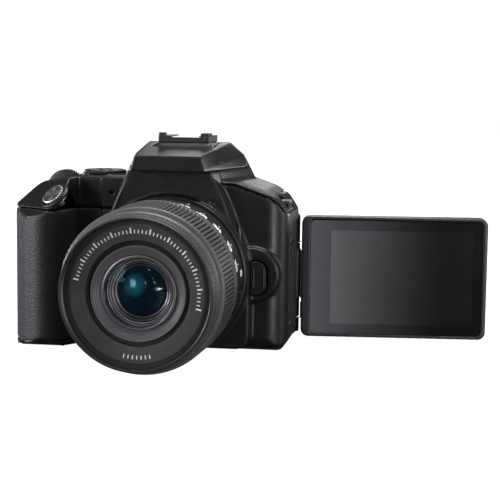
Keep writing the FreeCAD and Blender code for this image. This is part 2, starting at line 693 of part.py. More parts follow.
def small_fixed():
    base = box("shoe_base", both_sides(shoe_half), (-3, 18), (hump_top, hump_top + 2.9))
    keep("hot_shoe", cut(
        "hot_shoe", base,
        box("shoe_slot", both_sides(shoe_slot), (-1.2, 30), (hump_top + 0.3, hump_top + 2.35)),
        box("shoe_mouth", both_sides(shoe_slot - 3), (-1.2, 30), (hump_top + 2, hump_top + 5)),
        box("shoe_step", both_sides(shoe_slot), (-10, -1), (hump_top + 1, hump_top + 5)),
    ))
    lug = cut("lug_right", box("lug_right_plate", (41.8, 48), (-8, -2), (62.6, 64)),
              box("lug_right_eye", (45, 47), (-6.6, -3.4), (60, 66)))
    other = cut("lug_left", box("lug_left_plate", (-69.6, -63.4), (-8, -2), (62.6, 64)),
                box("lug_left_eye", (-68.6, -66.6), (-6.6, -3.4), (60, 66)))
    pair = doc.addObject("Part::Compound", "strap_lugs")
    pair.Links = [lug, other]
    keep("strap_lugs", pair)
    collar_ring = fuse("socket_body", rod("socket_tube", 6.6, "z", (0, base_z + 4.8), (0, 0)),
                       rod("socket_flange", 9, "z", (base_z + gap + 0.1, base_z + 1.6), (0, 0)))
    keep("tripod_socket", cut("tripod_socket", collar_ring,
                              rod("socket_thread", socket_r, "z", (-1, base_z + 3.6), (0, 0))))
    keep("thumb_rest", prism("thumb_rest", "xz", [
        (-66, 43), (-66, 58), (-52, 58), (-52, 51), (-56, 43),
    ], (20.4, body_back + 0.5), {3: [0, 1, 2], 4: [3, 4]}))


# ---- moving pieces of the body ----

def mirror():
    plate = box("mirror_plate", both_sides(14.4), (-25.4, 0), (-0.6, 0.6))
    axle = rod("mirror_axle", 0.8, "x", (-16.4, 16.4), (0, 0))
    made = fuse("main_mirror", plate, axle)
    made.Placement = Placement(Vector(0, -4, 44.5), Rotation(Vector(1, 0, 0), 45))
    keep("main_mirror", made)


def battery_door():
    keep("battery_door", fuse(
        "battery_door",
        cut("door_outside", box("door_plate", (-66, -47.9), (-27, 4), (0, base_z)),
            slope("door_sole", (-58, -18, 0), (0, -0.11, -0.994))),
        rod("door_knuckle", 1, "y", (-27, 4), (-47.9, 1.1)),
        box("door_pad", (-64, -51.4), (-24, 2), (base_z - 0.2, base_z + 1)),
    ))


def terminal_cover():
    keep("terminal_cover", fuse(
        "terminal_cover",
        box("terminal_plate", (hinge_side - 1.8, hinge_side), (-12, 5), (12, 45)),
        rod("terminal_knuckle", 0.9, "z", (12, 45), (hinge_side - 0.9, -12)),
    ))


def top_controls():
    keep("shutter_button", fuse(
        "shutter_button",
        tilted_rod("shutter_cap", shutter_r, (-2.6, 0.9)),
        tilted_rod("shutter_stem", 2, (-5.6, -2.5)),
    ))
    keep("main_dial", cut("main_dial", rod("wheel", wheel_r, "y", (-14.4, -7.6), (-50.5, 67.7)),
                          rod("wheel_bore", 1.5, "y", (-15, -7), (-50.5, 67.7))))
    keep("mode_dial", fuse(
        "mode_dial",
        turned("dial_cap", "z", [
            (73.9, 0), (73.9, dial_r), (75, dial_r), (75.3, dial_r - 0.6), (75.3, 0),
        ], {"x": dial_x, "y": dial_y}),
        rod("dial_stem", 3.9, "z", (67, 74), (dial_x, dial_y)),
    ))
    lever = fuse(
        "lever_body",
        rod("lever_ring", dial_r + 0.8, "z", (72.6, 73.8), (dial_x, dial_y)),
        box("lever_tab", (dial_x - 3, dial_x + 3), (dial_y - dial_r - 3, dial_y - dial_r - 0.2), (73.65, 74.8)),
    )
    keep("power_lever", cut("power_lever", lever, rod("lever_bore", 4.2, "z", (70, 80), (dial_x, dial_y))))
    keep("iso_button", fuse(
        "iso_button",
        rod("iso_cap", 2.6, "z", (70.2, 73), (-53, -2.2)),
        rod("iso_stem", 1.4, "z", (66, 70.3), (-53, -2.2)),
    ))


def rear_controls():
    for name, (radius, at) in REAR_KEYS.items():
        if name == "cross_keys":
            continue
        back = body_back + 0.9
        keep(name, fuse(name, rod(f"{name}_cap", radius, "y", (19, back), at),
                        rod(f"{name}_stem", 1.2, "y", (16.2, 19.1), at)))
    at = REAR_KEYS["cross_keys"][1]
    keep("cross_keys", turned("cross_keys", "y", [
        (18.8, 4.9), (18.8, 10), (body_back + 0.9, 10), (body_back + 0.5, 4.9),
    ], {"x": at[0], "z": at[1]}))
    keep("set_button", fuse("set_button", rod("set_cap", 4.7, "y", (18.4, body_back + 0.6), at),
                            rod("set_stem", 1.4, "y", (16.2, 18.5), at)))
    keep("dioptre_knob", rod("dioptre_knob", 3, "y", (17.6, body_back + 1.4), (20.5, 64.4)))


def lens_lock():
    keep("lens_release_button", prism(
        "lens_release_button", "xz", RELEASE, (-26.2, -20.6), {RELEASE_ROUND: [1, 2], 0.6: [0, 3]},
    ))
    keep("lens_lock_pin", rod("lens_lock_pin", 1.3, "y", (flange_y - 0.9, flange_y + 9), (28.9, axis_z)))


# ---- the screen: drawn along its own swing axis, then turned out ----

def swing_out(solid):
    """Turns a piece drawn along +X from the hinge to where the open screen stands."""
    solid.Placement = Placement(Vector(value_of(hinge_x), value_of(hinge_y), 0), Rotation(Vector(0, 0, 1), 5))
    for prop, size in (("Base.x", hinge_x), ("Base.y", hinge_y), ("Rotation.Angle", screen_open)):
        solid.setExpression(f"Placement.{prop}", text_of(size))
    return solid


def screen():
    near = screen_start
    far = screen_start + screen_wide
    low = screen_mid - screen_tall / 2
    high = screen_mid + screen_tall / 2
    half = screen_thick / 2
    outline = [(near, low), (near, high), (far, high), (far, low)]
    hollow = [(near + 3, low + 1.5), (near + 3, high - 1.5), (far - 1.5, high - 1.5), (far - 1.5, low + 1.5)]
    glass = [(near + 4.1, low + 1.6), (near + 4.1, high - 1.6), (near + 80.6, high - 1.6), (near + 80.6, low + 1.6)]
    room = [(u + du * 0.1, v + dv * 0.1) for (u, v), (du, dv) in zip(glass, [(-1, -1), (-1, 1), (1, 1), (1, -1)])]
    shaft_room = rod("shaft_room", 2.5, "x", (0, near + 9), (0, screen_mid))
    keep("screen_bezel", swing_out(cut(
        "screen_bezel",
        prism("bezel_block", "xz", outline, (-1 * half, 0.6), {3.4: [0, 1, 2, 3]}),
        prism("bezel_glass_room", "xz", room, (-6, -1 * half + 1.2), {2.2: [0, 1, 2, 3]}),
        prism("bezel_hollow", "xz", hollow, (-2.2, 2)),
        box("bezel_window", (near + 12, near + 78), (-6, 0), (low + 5, high - 5)),
        shaft_room,
    )))
    keep("screen_back_shell", swing_out(cut(
        "screen_back_shell",
        prism("shell_block", "xz", outline, (0.7, half), {3.4: [0, 1, 2, 3]}),
        prism("shell_hollow", "xz", hollow, (0, half - 1.4)),
        rod("shell_shaft_room", 2.5, "x", (0, near + 9), (0, screen_mid)),
    )))
    keep("display_panel", swing_out(fuse(
        "display_panel",
        prism("display_glass", "xz", glass, (-1 * half + 0.1, -1 * half + 1.1), {2.1: [0, 1, 2, 3]}),
        box("display_module", (near + 12.4, near + 77.6), (-1 * half + 1, 0.2), (low + 5.4, high - 5.4)),
    )))
    keep("screen_hinge", swing_out(cut(
        "screen_hinge",
        fuse(
            "hinge_block",
            rod("hinge_eye", hinge_r, "z", (9.3, 42.7), (0, 0)),
            box("hinge_web", (0, 3), both_sides(2.3), (screen_mid - 7, screen_mid + 7)),
            rod("hinge_shaft", 2.3, "x", (1, near + 8.5), (0, screen_mid)),
            rod("hinge_pin", 1.2, "z", (6.2, 45.8), (0, 0)),
        ),
        rod("hinge_lead", 0.6, "z", (6, 46), (0, 0)),
    )))


# ---- the lens ----

SWITCHES = {"focus_switch": 12, "stabiliser_switch": 30}  # degrees below the level of the lens axis


def round_the_lens(solid, angle):
    """Turns a block drawn beside the Y axis to an angle round the lens."""
    doc.recompute()
    turned_place = Placement(Vector(), Rotation(Vector(0, 1, 0), angle)).multiply(solid.Placement)
    place(solid, {"x": turned_place.Base.x, "y": turned_place.Base.y, "z": axis_z + turned_place.Base.z})
    solid.Placement = turned_place
    return solid


def lens():
    at = {"z": axis_z}
    keep("lens_mount", cut("lens_mount", turned("lens_mount_ring", "y", [
        (flange_y - 1.5, 22), (flange_y - 1.5, 30.4), (flange_y, 30.4), (flange_y, throat_r - 0.5),
        (flange_y + 3.6, throat_r - 0.5), (flange_y + 3.6, 22.5), (flange_y + 2, 22),
    ], at), rod("lens_pin_room", 1.4, "y", (flange_y - 1.1, 0), (28.9, axis_z))))
    barrel = turned("barrel_body", "y", [
        (zoom_back + gap, barrel_r - 0.2), (zoom_back + 1, barrel_r), (-37.4, barrel_r), (-36.4, barrel_r - 0.8),
        (-34.7, barrel_r - 0.8), (-34.7, 22), (-36.7, 22), (-45, 26.4), (-79, 26.4), (-79, 28), (zoom_back + gap, 28),
    ], at)
    keep("lens_barrel", cut(
        "lens_barrel", barrel,
        *[round_the_lens(box(f"{name}_room", (30, 40), (-42.2, -38.2), (-1.5, 4.4)), angle)
          for name, angle in SWITCHES.items()],
    ))
    for name, angle in SWITCHES.items():
        keep(name, round_the_lens(box(name, (30.5, 32.7), (-42, -38.4), (-1.3, 1.3)), angle))
    keep("zoom_ring", turned("zoom_ring", "y", [
        (zoom_front, zoom_bore), (zoom_front, zoom_r - 1), (zoom_front + 0.6, zoom_r - 0.6), (-60.4, zoom_r),
        (-59.6, zoom_r - 0.5), (-59.2, zoom_r), (-57.6, zoom_r), (-57, barrel_r), (zoom_back, barrel_r),
        (zoom_back, 28.2), (-48, 28.2), (-48, zoom_bore),
    ], at))
    keep("inner_barrel", turned("inner_barrel", "y", [
        (lens_front, filter_r), (lens_front, bezel_r - 0.4), (lens_front + 0.5, bezel_r),
        (focus_front - gap, bezel_r), (focus_front - gap, filter_r - 0.4), (focus_back + 0.4, filter_r - 0.4),
        (focus_back + 0.4, slide_r), (-56, slide_r), (-56, 28.6), (-83, 28.6), (-83, 14.5), (-84.4, 14.5),
        (-86, 26.9), (-92.4, 26.9), (-92.4, filter_r),
    ], at))
    keep("focus_ring", turned("focus_ring", "y", [
        (focus_front, filter_r - 0.2), (focus_front, bezel_r + 0.2), (-87.6, focus_r - 0.3), (-86.6, focus_r),
        (focus_back, focus_r - 0.4), (focus_back, filter_r - 0.2),
    ], at))
    keep("name_ring", turned("name_ring", "y", [
        (-91.4, 26.8), (-90.8, 19.4), (-87, 15.9), (-86, 15.9), (-86, 17), (-89.6, 20.2), (-90.2, 26.8),
    ], at))
    keep("front_element", turned("front_element", "y", [
        (-88.6, 0), (-88.1, 5), (-86.7, 10), (-85.8, 12.2), (-84.6, 14.3), (-81.6, 14.3), (-81.6, 0),
    ], at))
    keep("aperture_unit", turned("aperture_unit", "y", [
        (-70, 7), (-70, 26.2), (-67, 26.2), (-67, 7),
    ], at))
    keep("focus_group", turned("focus_group", "y", [
        (-62, 0), (-61.4, 8), (-61, 9), (-63, 9.2), (-63, 25.8), (-55, 25.8), (-55, 9), (-57, 0),
    ], at))


# ---- make everything ----

grip_rubber()
front_cover()
rear_cover()
bottom_cover()
top_cover()
flash_head()
flash_window()
mirror_box()
body_mount_ring()
screws()
finder()
eyecup()
shutter()
electronics()
small_fixed()
mirror()
battery_door()
terminal_cover()
top_controls()
rear_controls()
lens_lock()
screen()
lens()
doc.recompute()

for thing in doc.Objects:
    if "Invalid" in thing.State or "Error" in thing.State:
        raise RuntimeError(f"{thing.Name} did not compute")
os.makedirs("parts", exist_ok=True)
for name, solid in parts.items():
    shape = solid.Shape
    if shape.isNull() or not shape.isValid() or not shape.Solids:
        raise RuntimeError(f"{name} is not a sound solid")
    shape.exportStep(f"parts/{name}.step")
    print(f"{name}: {len(shape.Solids)} solid, {shape.Volume:.0f} mm3")
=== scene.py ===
import json
import math

import bmesh
import bpy
import numpy as np
from mathutils import Matrix, Vector
from mathutils.bvhtree import BVHTree


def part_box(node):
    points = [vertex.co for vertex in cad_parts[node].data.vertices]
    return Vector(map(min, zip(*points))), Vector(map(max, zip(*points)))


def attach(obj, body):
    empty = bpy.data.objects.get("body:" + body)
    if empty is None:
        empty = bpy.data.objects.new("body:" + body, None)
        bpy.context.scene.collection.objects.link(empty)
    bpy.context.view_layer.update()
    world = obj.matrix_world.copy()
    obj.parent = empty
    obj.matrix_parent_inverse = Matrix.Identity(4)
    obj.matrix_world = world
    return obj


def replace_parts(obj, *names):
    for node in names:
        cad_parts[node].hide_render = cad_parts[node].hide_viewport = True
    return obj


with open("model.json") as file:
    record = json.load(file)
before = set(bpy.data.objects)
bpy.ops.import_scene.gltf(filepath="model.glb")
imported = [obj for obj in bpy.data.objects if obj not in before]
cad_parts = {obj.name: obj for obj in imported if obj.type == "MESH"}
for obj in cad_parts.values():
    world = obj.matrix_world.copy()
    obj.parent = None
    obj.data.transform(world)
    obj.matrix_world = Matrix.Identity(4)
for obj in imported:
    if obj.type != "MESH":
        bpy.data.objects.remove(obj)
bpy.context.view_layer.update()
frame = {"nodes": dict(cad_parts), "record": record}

# The looks of a compact reflex camera. Everything is worked out in millimetres from the CAD nodes' own boxes, and
# scaled to metres as it is made. +X is the side of the screen hinge, -Y the way the lens looks, +Z up.

MM = 0.001
BODY_OF = {node: body for body, nodes in frame["record"]["behaviour"]["bodies"].items() for node in nodes}


def span(node):
    """Lowest and highest corner of a CAD node, in millimetres."""
    low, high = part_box(node)
    return low / MM, high / MM


def middle(node):
    """Middle of a CAD node's box, in millimetres."""
    low, high = span(node)
    return (low + high) / 2


# ---- where things are: boxes from the CAD, and the few places that no box gives ----

ZOOM_LOW, ZOOM_HIGH = span("zoom_ring")
FOCUS_LOW, FOCUS_HIGH = span("focus_ring")
LIP_Y = span("inner_barrel")[0].y           # the lens's foremost edge
NAME_Y = span("name_ring")[0].y             # front of the plate with the scale
AXIS_Z = middle("zoom_ring").z
LENS_AXIS = (0, AXIS_Z)
SHUTTER_AXIS = Vector((-0.42, -0.57, 0.71)).normalized()
SHUTTER_AT = Vector((-50, -32.6, 65.9))
SHUTTER_R = 5
TOP_PLATE_Z = 73.62
HINGE = Vector((46.7, 19.9, 0))             # swing axis of the screen
SCREEN_ANGLE = math.radians(5)              # how far the open screen stands from the body's plane
SCREEN_HALF = 4.1                           # half the screen's thickness
SCREEN_EDGE = 3.45                          # just inside its near edge, from the swing axis
ZOOM_RIBS = 118
FOCUS_RIBS = 200
GRIP_END = -60.9                            # where the zoom ring's ribs end, Y
BAND_START = -57.4                          # where its band of numbers starts, Y
FRONT_GLASS_R = 13.6
INNER_GLASS_R = 9.5


# ---- materials ----

class Look:
    """A procedural material: a Principled shader, and short words for the nodes that feed it."""

    def __init__(self, name, colour, rough, **sockets):
        self.material = bpy.data.materials.new(name)
        self.material.use_nodes = True
        self.tree = self.material.node_tree
        self.shader = self.tree.nodes["Principled BSDF"]
        self.shader.inputs["Base Color"].default_value = (*colour, 1)
        self.shader.inputs["Roughness"].default_value = rough
        for socket, value in sockets.items():
            self.shader.inputs[socket.replace("_", " ")].default_value = value
        place = self.tree.nodes.new("ShaderNodeTexCoord")
        self.mm = self.node("ShaderNodeVectorMath", "Vector", operation="SCALE", Vector=place.outputs["Object"],
                            Scale=1 / MM)

    def node(self, kind, output, operation=None, **inputs):
        """Adds a node, sets or links its inputs, and returns one of its outputs."""
        node = self.tree.nodes.new(kind)
        if operation:
            node.operation = operation
        for name, value in inputs.items():
            self.feed(node.inputs[name.replace("_", " ")], value)
        return node.outputs[output]

    def feed(self, socket, value):
        """Links a node's output to a socket, or sets the socket to a plain value."""
        if isinstance(value, bpy.types.NodeSocket):
            self.tree.links.new(value, socket)
        else:
            socket.default_value = value

    def noise(self, size, detail=3.0, stretch=(1, 1, 1)):
        """Noise with features of about size millimetres, longer where stretch is under 1."""
        at = self.node("ShaderNodeVectorMath", "Vector", operation="MULTIPLY", Vector=self.mm)
        self.feed(at.node.inputs[1], stretch)
        return self.node("ShaderNodeTexNoise", "Fac", Vector=at, Scale=1 / size, Detail=detail)

    def cells(self, size):
        """Distance to the nearest of many points that lie about size millimetres apart."""
        return self.node("ShaderNodeTexVoronoi", "Distance", Vector=self.mm, Scale=1 / size)

    def between(self, value, low, high, to_low=0.0, to_high=1.0):
        """The value's stretch from low to high, moved to another stretch."""
        node = self.tree.nodes.new("ShaderNodeMapRange")
        for name, number in zip(("Value", "From Min", "From Max", "To Min", "To Max"),
                                (value, low, high, to_low, to_high)):
            self.feed(node.inputs[name], number)
        return node.outputs["Result"]

    def mix(self, factor, first, second):
        """The first colour where the factor is 0, the second where it is 1."""
        node = self.tree.nodes.new("ShaderNodeMix")
        node.data_type = "RGBA"
        for index, value in ((0, factor), (6, first), (7, second)):
            colour = isinstance(value, tuple) and len(value) == 3
            self.feed(node.inputs[index], (*value, 1) if colour else value)
        return node.outputs[2]

    def rough(self, value):
        self.feed(self.shader.inputs["Roughness"], value)

    def paint(self, value):
        self.feed(self.shader.inputs["Base Color"], value)

    def bump(self, height, depth, strength=1.0):
        """Relief of about depth millimetres, on top of any relief that is there already."""
        node = self.tree.nodes.new("ShaderNodeBump")
        node.inputs["Strength"].default_value = strength
        node.inputs["Distance"].default_value = depth * MM
        self.feed(node.inputs["Height"], height)
        normal = self.shader.inputs["Normal"]
        if normal.links:
            self.feed(node.inputs["Normal"], normal.links[0].from_socket)
        self.feed(normal, node.outputs["Normal"])


def shade(colour, factor):
    """The colour made darker or lighter."""
    return tuple(min(1, part * factor) for part in colour)


def moulded(name, colour, rough, grain=0.35, depth=0.012, wear=1.5, **sockets):
    """Moulded plastic: spark-eroded grain, slow changes of tone and gloss, and edges rubbed a little lighter."""
    look = Look(name, colour, rough, **sockets)
    slow = look.noise(14)
    tone = look.mix(look.between(slow, 0.35, 0.65), shade(colour, 0.86), shade(colour, 1.14))
    edge = look.tree.nodes.new("ShaderNodeNewGeometry").outputs["Pointiness"]
    rubbed = look.mix(look.between(edge, 0.52, 0.6), tone, shade(colour, wear))
    look.paint(rubbed)
    look.rough(look.between(look.noise(5), 0.3, 0.7, rough - 0.04, rough + 0.05))
    look.bump(look.noise(grain, 2.0), depth, 0.5)
    look.bump(look.noise(30, 1.0), 0.05, 0.35)
    return look.material


def banded(material, start, colour):
    """Paints everything behind a place along the lens in another colour."""
    tree = material.node_tree
    shader = tree.nodes["Principled BSDF"]
    ground = shader.inputs["Base Color"].links[0].from_socket
    where = tree.nodes.new("ShaderNodeTexCoord")
    parts = tree.nodes.new("ShaderNodeSeparateXYZ")
    behind = tree.nodes.new("ShaderNodeMapRange")
    pick = tree.nodes.new("ShaderNodeMix")
    pick.data_type = "RGBA"
    behind.inputs["From Min"].default_value = (start - 0.1) * MM
    behind.inputs["From Max"].default_value = (start + 0.1) * MM
    pick.inputs[7].default_value = (*colour, 1)
    tree.links.new(where.outputs["Object"], parts.inputs["Vector"])
    tree.links.new(parts.outputs["Y"], behind.inputs["Value"])
    tree.links.new(behind.outputs["Result"], pick.inputs[0])
    tree.links.new(ground, pick.inputs[6])
    tree.links.new(pick.outputs[2], shader.inputs["Base Color"])
    return material


def leather(name, colour, rough, painted_shade_span=None):
    """Grip rubber with a fine pebbled grain. It can carry painted shade: given two places along X, it is darkened
    from the first to the second, as where the lens shades the grip.
    """
    look = Look(name, colour, rough, Specular_IOR_Level=0.42)
    pebble = look.cells(0.8)
    worn = look.mix(look.between(look.noise(11), 0.36, 0.66), shade(colour, 0.88), shade(colour, 1.16))
    grained = look.mix(look.between(pebble, 0.15, 0.6), shade(colour, 1.45), worn)
    # painted shade: towards the lens the rubber is darkened to a fifth of its colour, where the lens shades the grip
    if painted_shade_span:
        place = look.tree.nodes.new("ShaderNodeSeparateXYZ")
        look.feed(place.inputs["Vector"], look.mm)
        grained = look.mix(look.between(place.outputs["X"], *painted_shade_span), grained, shade(colour, 0.2))
    look.paint(grained)
    look.rough(look.between(pebble, 0.1, 0.6, rough - 0.08, rough + 0.1))
    look.bump(look.between(pebble, 0.0, 0.7, 1.0, 0.0), 0.12, 0.7)
    look.bump(look.noise(0.3, 2.0), 0.03, 0.5)
    return look.material


def metal(name, colour, rough, stretch=(1, 1, 1), **sockets):
    """Bright or blackened metal with fine tool marks, drawn out along the axis where stretch is small."""
    look = Look(name, colour, rough, Metallic=1.0, **sockets)
    marks = look.noise(0.12, 2.0, stretch)
    look.paint(look.mix(look.between(look.noise(3), 0.3, 0.7), shade(colour, 0.88), shade(colour, 1.08)))
    look.rough(look.between(marks, 0.3, 0.7, max(0.05, rough - 0.08), rough + 0.1))
    look.bump(marks, 0.006, 0.4)
    return look.material


def printed(name, colour):
    """Screen-printed ink, a little broken by the grain under it."""
    look = Look(name, colour, 0.55)
    look.paint(look.mix(look.between(look.noise(0.5), 0.35, 0.7), shade(colour, 0.86), colour))
    look.bump(look.noise(0.3, 2.0), 0.01, 0.5)
    return look.material


def spun_metal(name, colour):
    """A turned face: fine rings, with the two bright wedges that such a face shows."""
    look = Look(name, colour, 0.24, Metallic=1.0, Anisotropic=0.85)
    tangent = look.tree.nodes.new("ShaderNodeTangent")
    tangent.direction_type = "RADIAL"
    tangent.axis = "Z"
    look.feed(look.shader.inputs["Tangent"], tangent.outputs["Tangent"])
    flat = look.node("ShaderNodeVectorMath", "Vector", operation="MULTIPLY", Vector=look.mm)
    look.feed(flat.node.inputs[1], (1, 1, 0))
    out = look.node("ShaderNodeVectorMath", "Value", operation="LENGTH", Vector=flat)
    rings = look.node("ShaderNodeMath", "Value", operation="SINE")
    look.feed(rings.node.inputs[0], look.between(out, 0, 1, 0, 40))
    look.bump(rings, 0.004, 0.5)
    look.paint(look.mix(look.between(look.noise(1.5), 0.3, 0.7), shade(colour, 0.9), colour))
    return look.material


def coated_glass(name, colour, tint, bend=1.45, **sockets):
    """Coated optical glass: the coat's colour shows where it mirrors a light."""
    look = Look(name, colour, 0.02, IOR=bend, Specular_Tint=(*tint, 1), **sockets)
    look.rough(look.between(look.noise(2.5, 4.0), 0.62, 0.9, 0.01, 0.03))
    look.bump(look.noise(25, 1.0), 0.004, 0.2)
    return look.material


def display_glass(name, near, far, start, stop, **sockets):
    """Cover glass of the screen, with a painted reflection: its colour runs from the light near colour at the start
    of the panel and falls away to the dark far colour along it, standing in for the studio's glare on the glass.
    """
    look = Look(name, near, 0.14, **sockets)
    parts = look.tree.nodes.new("ShaderNodeSeparateXYZ")
    look.feed(parts.inputs["Vector"], look.mm)
    along = look.between(parts.outputs["X"], start, stop)
    fine = look.between(look.noise(6), 0.3, 0.7, -0.02, 0.02)
    shift = look.node("ShaderNodeMath", "Value", operation="ADD")
    look.feed(shift.node.inputs[0], along)
    look.feed(shift.node.inputs[1], fine)
    painted_glare_fade = look.node("ShaderNodeMath", "Value", operation="POWER")
    look.feed(painted_glare_fade.node.inputs[0], look.between(shift, 0, 1, 1, 0))
    look.feed(painted_glare_fade.node.inputs[1], 1.8)
    # painted reflection: the glare on the glass is painted into the colour, fading along the panel
    look.paint(look.mix(painted_glare_fade, far, near))
    look.rough(look.between(look.noise(20), 0.3, 0.7, 0.1, 0.16))
    return look.material


def board_look(name):
    """Green solder mask with lighter tracks."""
    look = Look(name, (0.01, 0.09, 0.04), 0.4)
    tracks = look.cells(2.2)
    look.paint(look.mix(look.between(tracks, 0.45, 0.5), (0.01, 0.08, 0.035), (0.05, 0.2, 0.09)))
    look.bump(tracks, 0.03, 0.5)
    return look.material


LOOKS = {
    "body_plastic": moulded("satin_black_plastic", (0.0062, 0.0064, 0.0072), 0.4, Specular_IOR_Level=0.4),
    # the grip rubber gets painted shade from x -58.5 to -47, darkest beside the lens
    "grip_rubber": leather("pebbled_rubber", (0.032, 0.034, 0.04), 0.52, (-58.5, -47)),
    "lens_plastic": moulded("lens_plastic", (0.011, 0.011, 0.0118), 0.4, 0.3, 0.008, Specular_IOR_Level=0.42),
    "trim_plastic": moulded("gloss_trim", (0.008, 0.008, 0.009), 0.2, 0.8, 0.003),
    "inner_plastic": moulded("flocked_black", (0.004, 0.004, 0.004), 0.85, 0.2, 0.03, Specular_IOR_Level=0.15),
    "name_plate": moulded("violet_grey_enamel", (0.042, 0.0405, 0.047), 0.45, 0.25, 0.006),
    "steel": metal("bright_steel", (0.55, 0.55, 0.56), 0.28),
    "bright_metal": spun_metal("spun_shutter_metal", (0.86, 0.86, 0.88)),
    "shoe_metal": metal("shoe_metal", (0.07, 0.07, 0.075), 0.42, (1, 0.05, 1)),
    "black_metal": metal("black_metal", (0.03, 0.03, 0.032), 0.45),
    "glass": coated_glass("dark_coated_glass", (0.01, 0.02, 0.022), (0.35, 0.9, 0.9)),
    "display": moulded("display_module", (0.006, 0.006, 0.007), 0.25, 0.8, 0.002),
    "mirror": metal("silvered_mirror", (0.85, 0.86, 0.88), 0.06),
    "circuit": board_look("solder_mask"),
    "cell": moulded("battery_label", (0.1, 0.1, 0.11), 0.5),
    "diffuser": moulded("frosted_diffuser", (0.7, 0.7, 0.68), 0.3, Transmission_Weight=0.4),
}
SOFT_RUBBER = leather("soft_rubber", (0.014, 0.0145, 0.016), 0.62)
WHITE_INK = printed("white_ink", (0.82, 0.82, 0.84))
WORN_STEEL = metal("worn_steel", (0.2, 0.2, 0.21), 0.4)
ZOOM_RUBBER = moulded("zoom_rubber", (0.062, 0.062, 0.066), 0.42, 0.3, 0.006, 2.6, Specular_IOR_Level=0.5)
RIB_RUBBER = moulded("ribbed_rubber", (0.066, 0.066, 0.069), 0.42, 0.3, 0.006, Specular_IOR_Level=0.5)
# a lighter grey for raised lines: a painted highlight on the edges of the finder tower and on the flash catch
LINE_GREY = moulded("painted_highlight_line", (0.026, 0.026, 0.028), 0.34, 0.35, 0.01)
LIP_BLACK = moulded("thread_black", (0.021, 0.021, 0.022), 0.5, 0.3, 0.004, Specular_IOR_Level=0.3)
SCREEN_FRAME = moulded("screen_frame", (0.014, 0.014, 0.0155), 0.4, 0.35, 0.01)
RIM_METAL = metal("retaining_ring_metal", (0.36, 0.33, 0.36), 0.32)
BAFFLE = moulded("ribbed_baffle_black", (0.007, 0.007, 0.0075), 0.45, 0.3, 0.004)
CONE_GREY = moulded("grey_cone", (0.09, 0.088, 0.096), 0.42, 0.3, 0.004)


def slot_of(node):
    """The material slot of a CAD node."""
    for slot, nodes in SLOTS.items():
        if node in nodes:
            return slot
    return "body_plastic"


SLOTS = {
    "grip_rubber": ["grip_rubber", "thumb_rest", "eyecup", "terminal_cover"],
    "lens_plastic": ["lens_barrel", "zoom_ring", "inner_barrel", "focus_ring", "focus_switch", "stabiliser_switch",
                     "main_dial"],
    "name_plate": ["name_ring"],
    "inner_plastic": ["mirror_box", "focus_group", "memory_card"],
    "cell": ["battery"],
    "steel": ["body_mount_ring", "lens_mount", "screws", "strap_lugs", "tripod_socket", "lens_lock_pin"],
    "bright_metal": ["shutter_button"],
    "shoe_metal": ["hot_shoe"],
    "black_metal": ["shutter_frame", "shutter_front_curtain", "shutter_rear_curtain", "aperture_unit"],
    "glass": ["eyepiece_lens", "front_element", "focusing_screen"],
    "display": ["display_panel"],
    "trim_plastic": ["image_sensor"],
    "mirror": ["pentamirror", "main_mirror"],
    "circuit": ["main_board"],
    "diffuser": ["flash_window"],
}


# ---- how pieces are made ----

def add(name, mesh, look, body, turn=None):
    """Puts a mesh made in millimetres into the scene as a piece of the camera."""
    mesh.transform(Matrix.Diagonal((MM, MM, MM, 1)))
    mesh.materials.clear()
    mesh.materials.append(look)
    piece = bpy.data.objects.new(name, mesh)
    bpy.context.scene.collection.objects.link(piece)
    if turn is not None:
        piece.matrix_world = turn
    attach(piece, body)
    return piece


def soften(mesh, angle=35):
    """Smooth shading with edges kept where the surface turns by more than the angle, in degrees."""
    mesh.shade_smooth()
    mesh.set_sharp_from_angle(angle=math.radians(angle))


def mesh_of(name, build):
    """A mesh from a function that fills a bmesh."""
    form = bmesh.new()
    build(form)
    bmesh.ops.remove_doubles(form, verts=form.verts, dist=1e-4)
    bmesh.ops.recalc_face_normals(form, faces=form.faces)
    mesh = bpy.data.meshes.new(name)
    form.to_mesh(mesh)
    form.free()
    return mesh


def turned(name, outline, look, body, at=LENS_AXIS, axis="y", steps=192, relief=None, turn=None):
    """A ring or disc turned about an axis line. The outline's points are (place along the axis, radius), in order
    round its section, and relief(along, radius, angles) adds to the radius of the points that it is asked about."""
    angles = np.arange(steps) * (2 * math.pi / steps)

    def build(form):
        rows = []
        for along, radius in outline:
            radii = np.full(steps, float(radius))
            if relief is not None and radius > 0:
                radii = radii + relief(along, radius, angles)
            row = []
            for r, angle in zip(radii, angles):
                u, v = r * math.cos(angle), r * math.sin(angle)
                point = {"x": (along, at[0] + u, at[1] + v), "y": (at[0] + u, along, at[1] + v),
                         "z": (at[0] + u, at[1] + v, along)}[axis]
                row.append(form.verts.new(point))
            rows.append(row)
        for first, second in zip(rows, rows[1:] + rows[:1]):
            for n in range(steps):
                form.faces.new((first[n], first[(n + 1) % steps], second[(n + 1) % steps], second[n]))

    mesh = mesh_of(name, build)
    soften(mesh)
    return add(name, mesh, look, body, turn)


def ribs(count, depth, start, stop, floor, run=0.6, fill=0.55):
    """Relief for turned(): axial ribs between start and stop, cut into everything outside the floor radius."""
    def relief(along, radius, angles):
        if radius < floor or not start <= along <= stop:
            return np.zeros_like(angles)
        wave = np.cos(angles * count)
        cut = np.clip((wave + 1 - 2 * fill + 0.3) / 0.6, 0, 1)
        ends = min(1, (along - start) / run, (stop - along) / run)
        return -depth * max(0, ends) * cut * cut * (3 - 2 * cut)
    return relief


def stretch(start, stop, count):
    """Evenly spaced places from start to stop, both included."""
    return [start + (stop - start) * n / (count - 1) for n in range(count)]


def blocks(form, boxes):
    """Adds boxes, each (low corner, high corner), to a bmesh."""
    for low, high in boxes:
        size = Vector(high) - Vector(low)
        centre = (Vector(high) + Vector(low)) / 2
        bmesh.ops.create_cube(form, size=1, matrix=Matrix.Translation(centre) @ Matrix.Diagonal((*size, 1)))


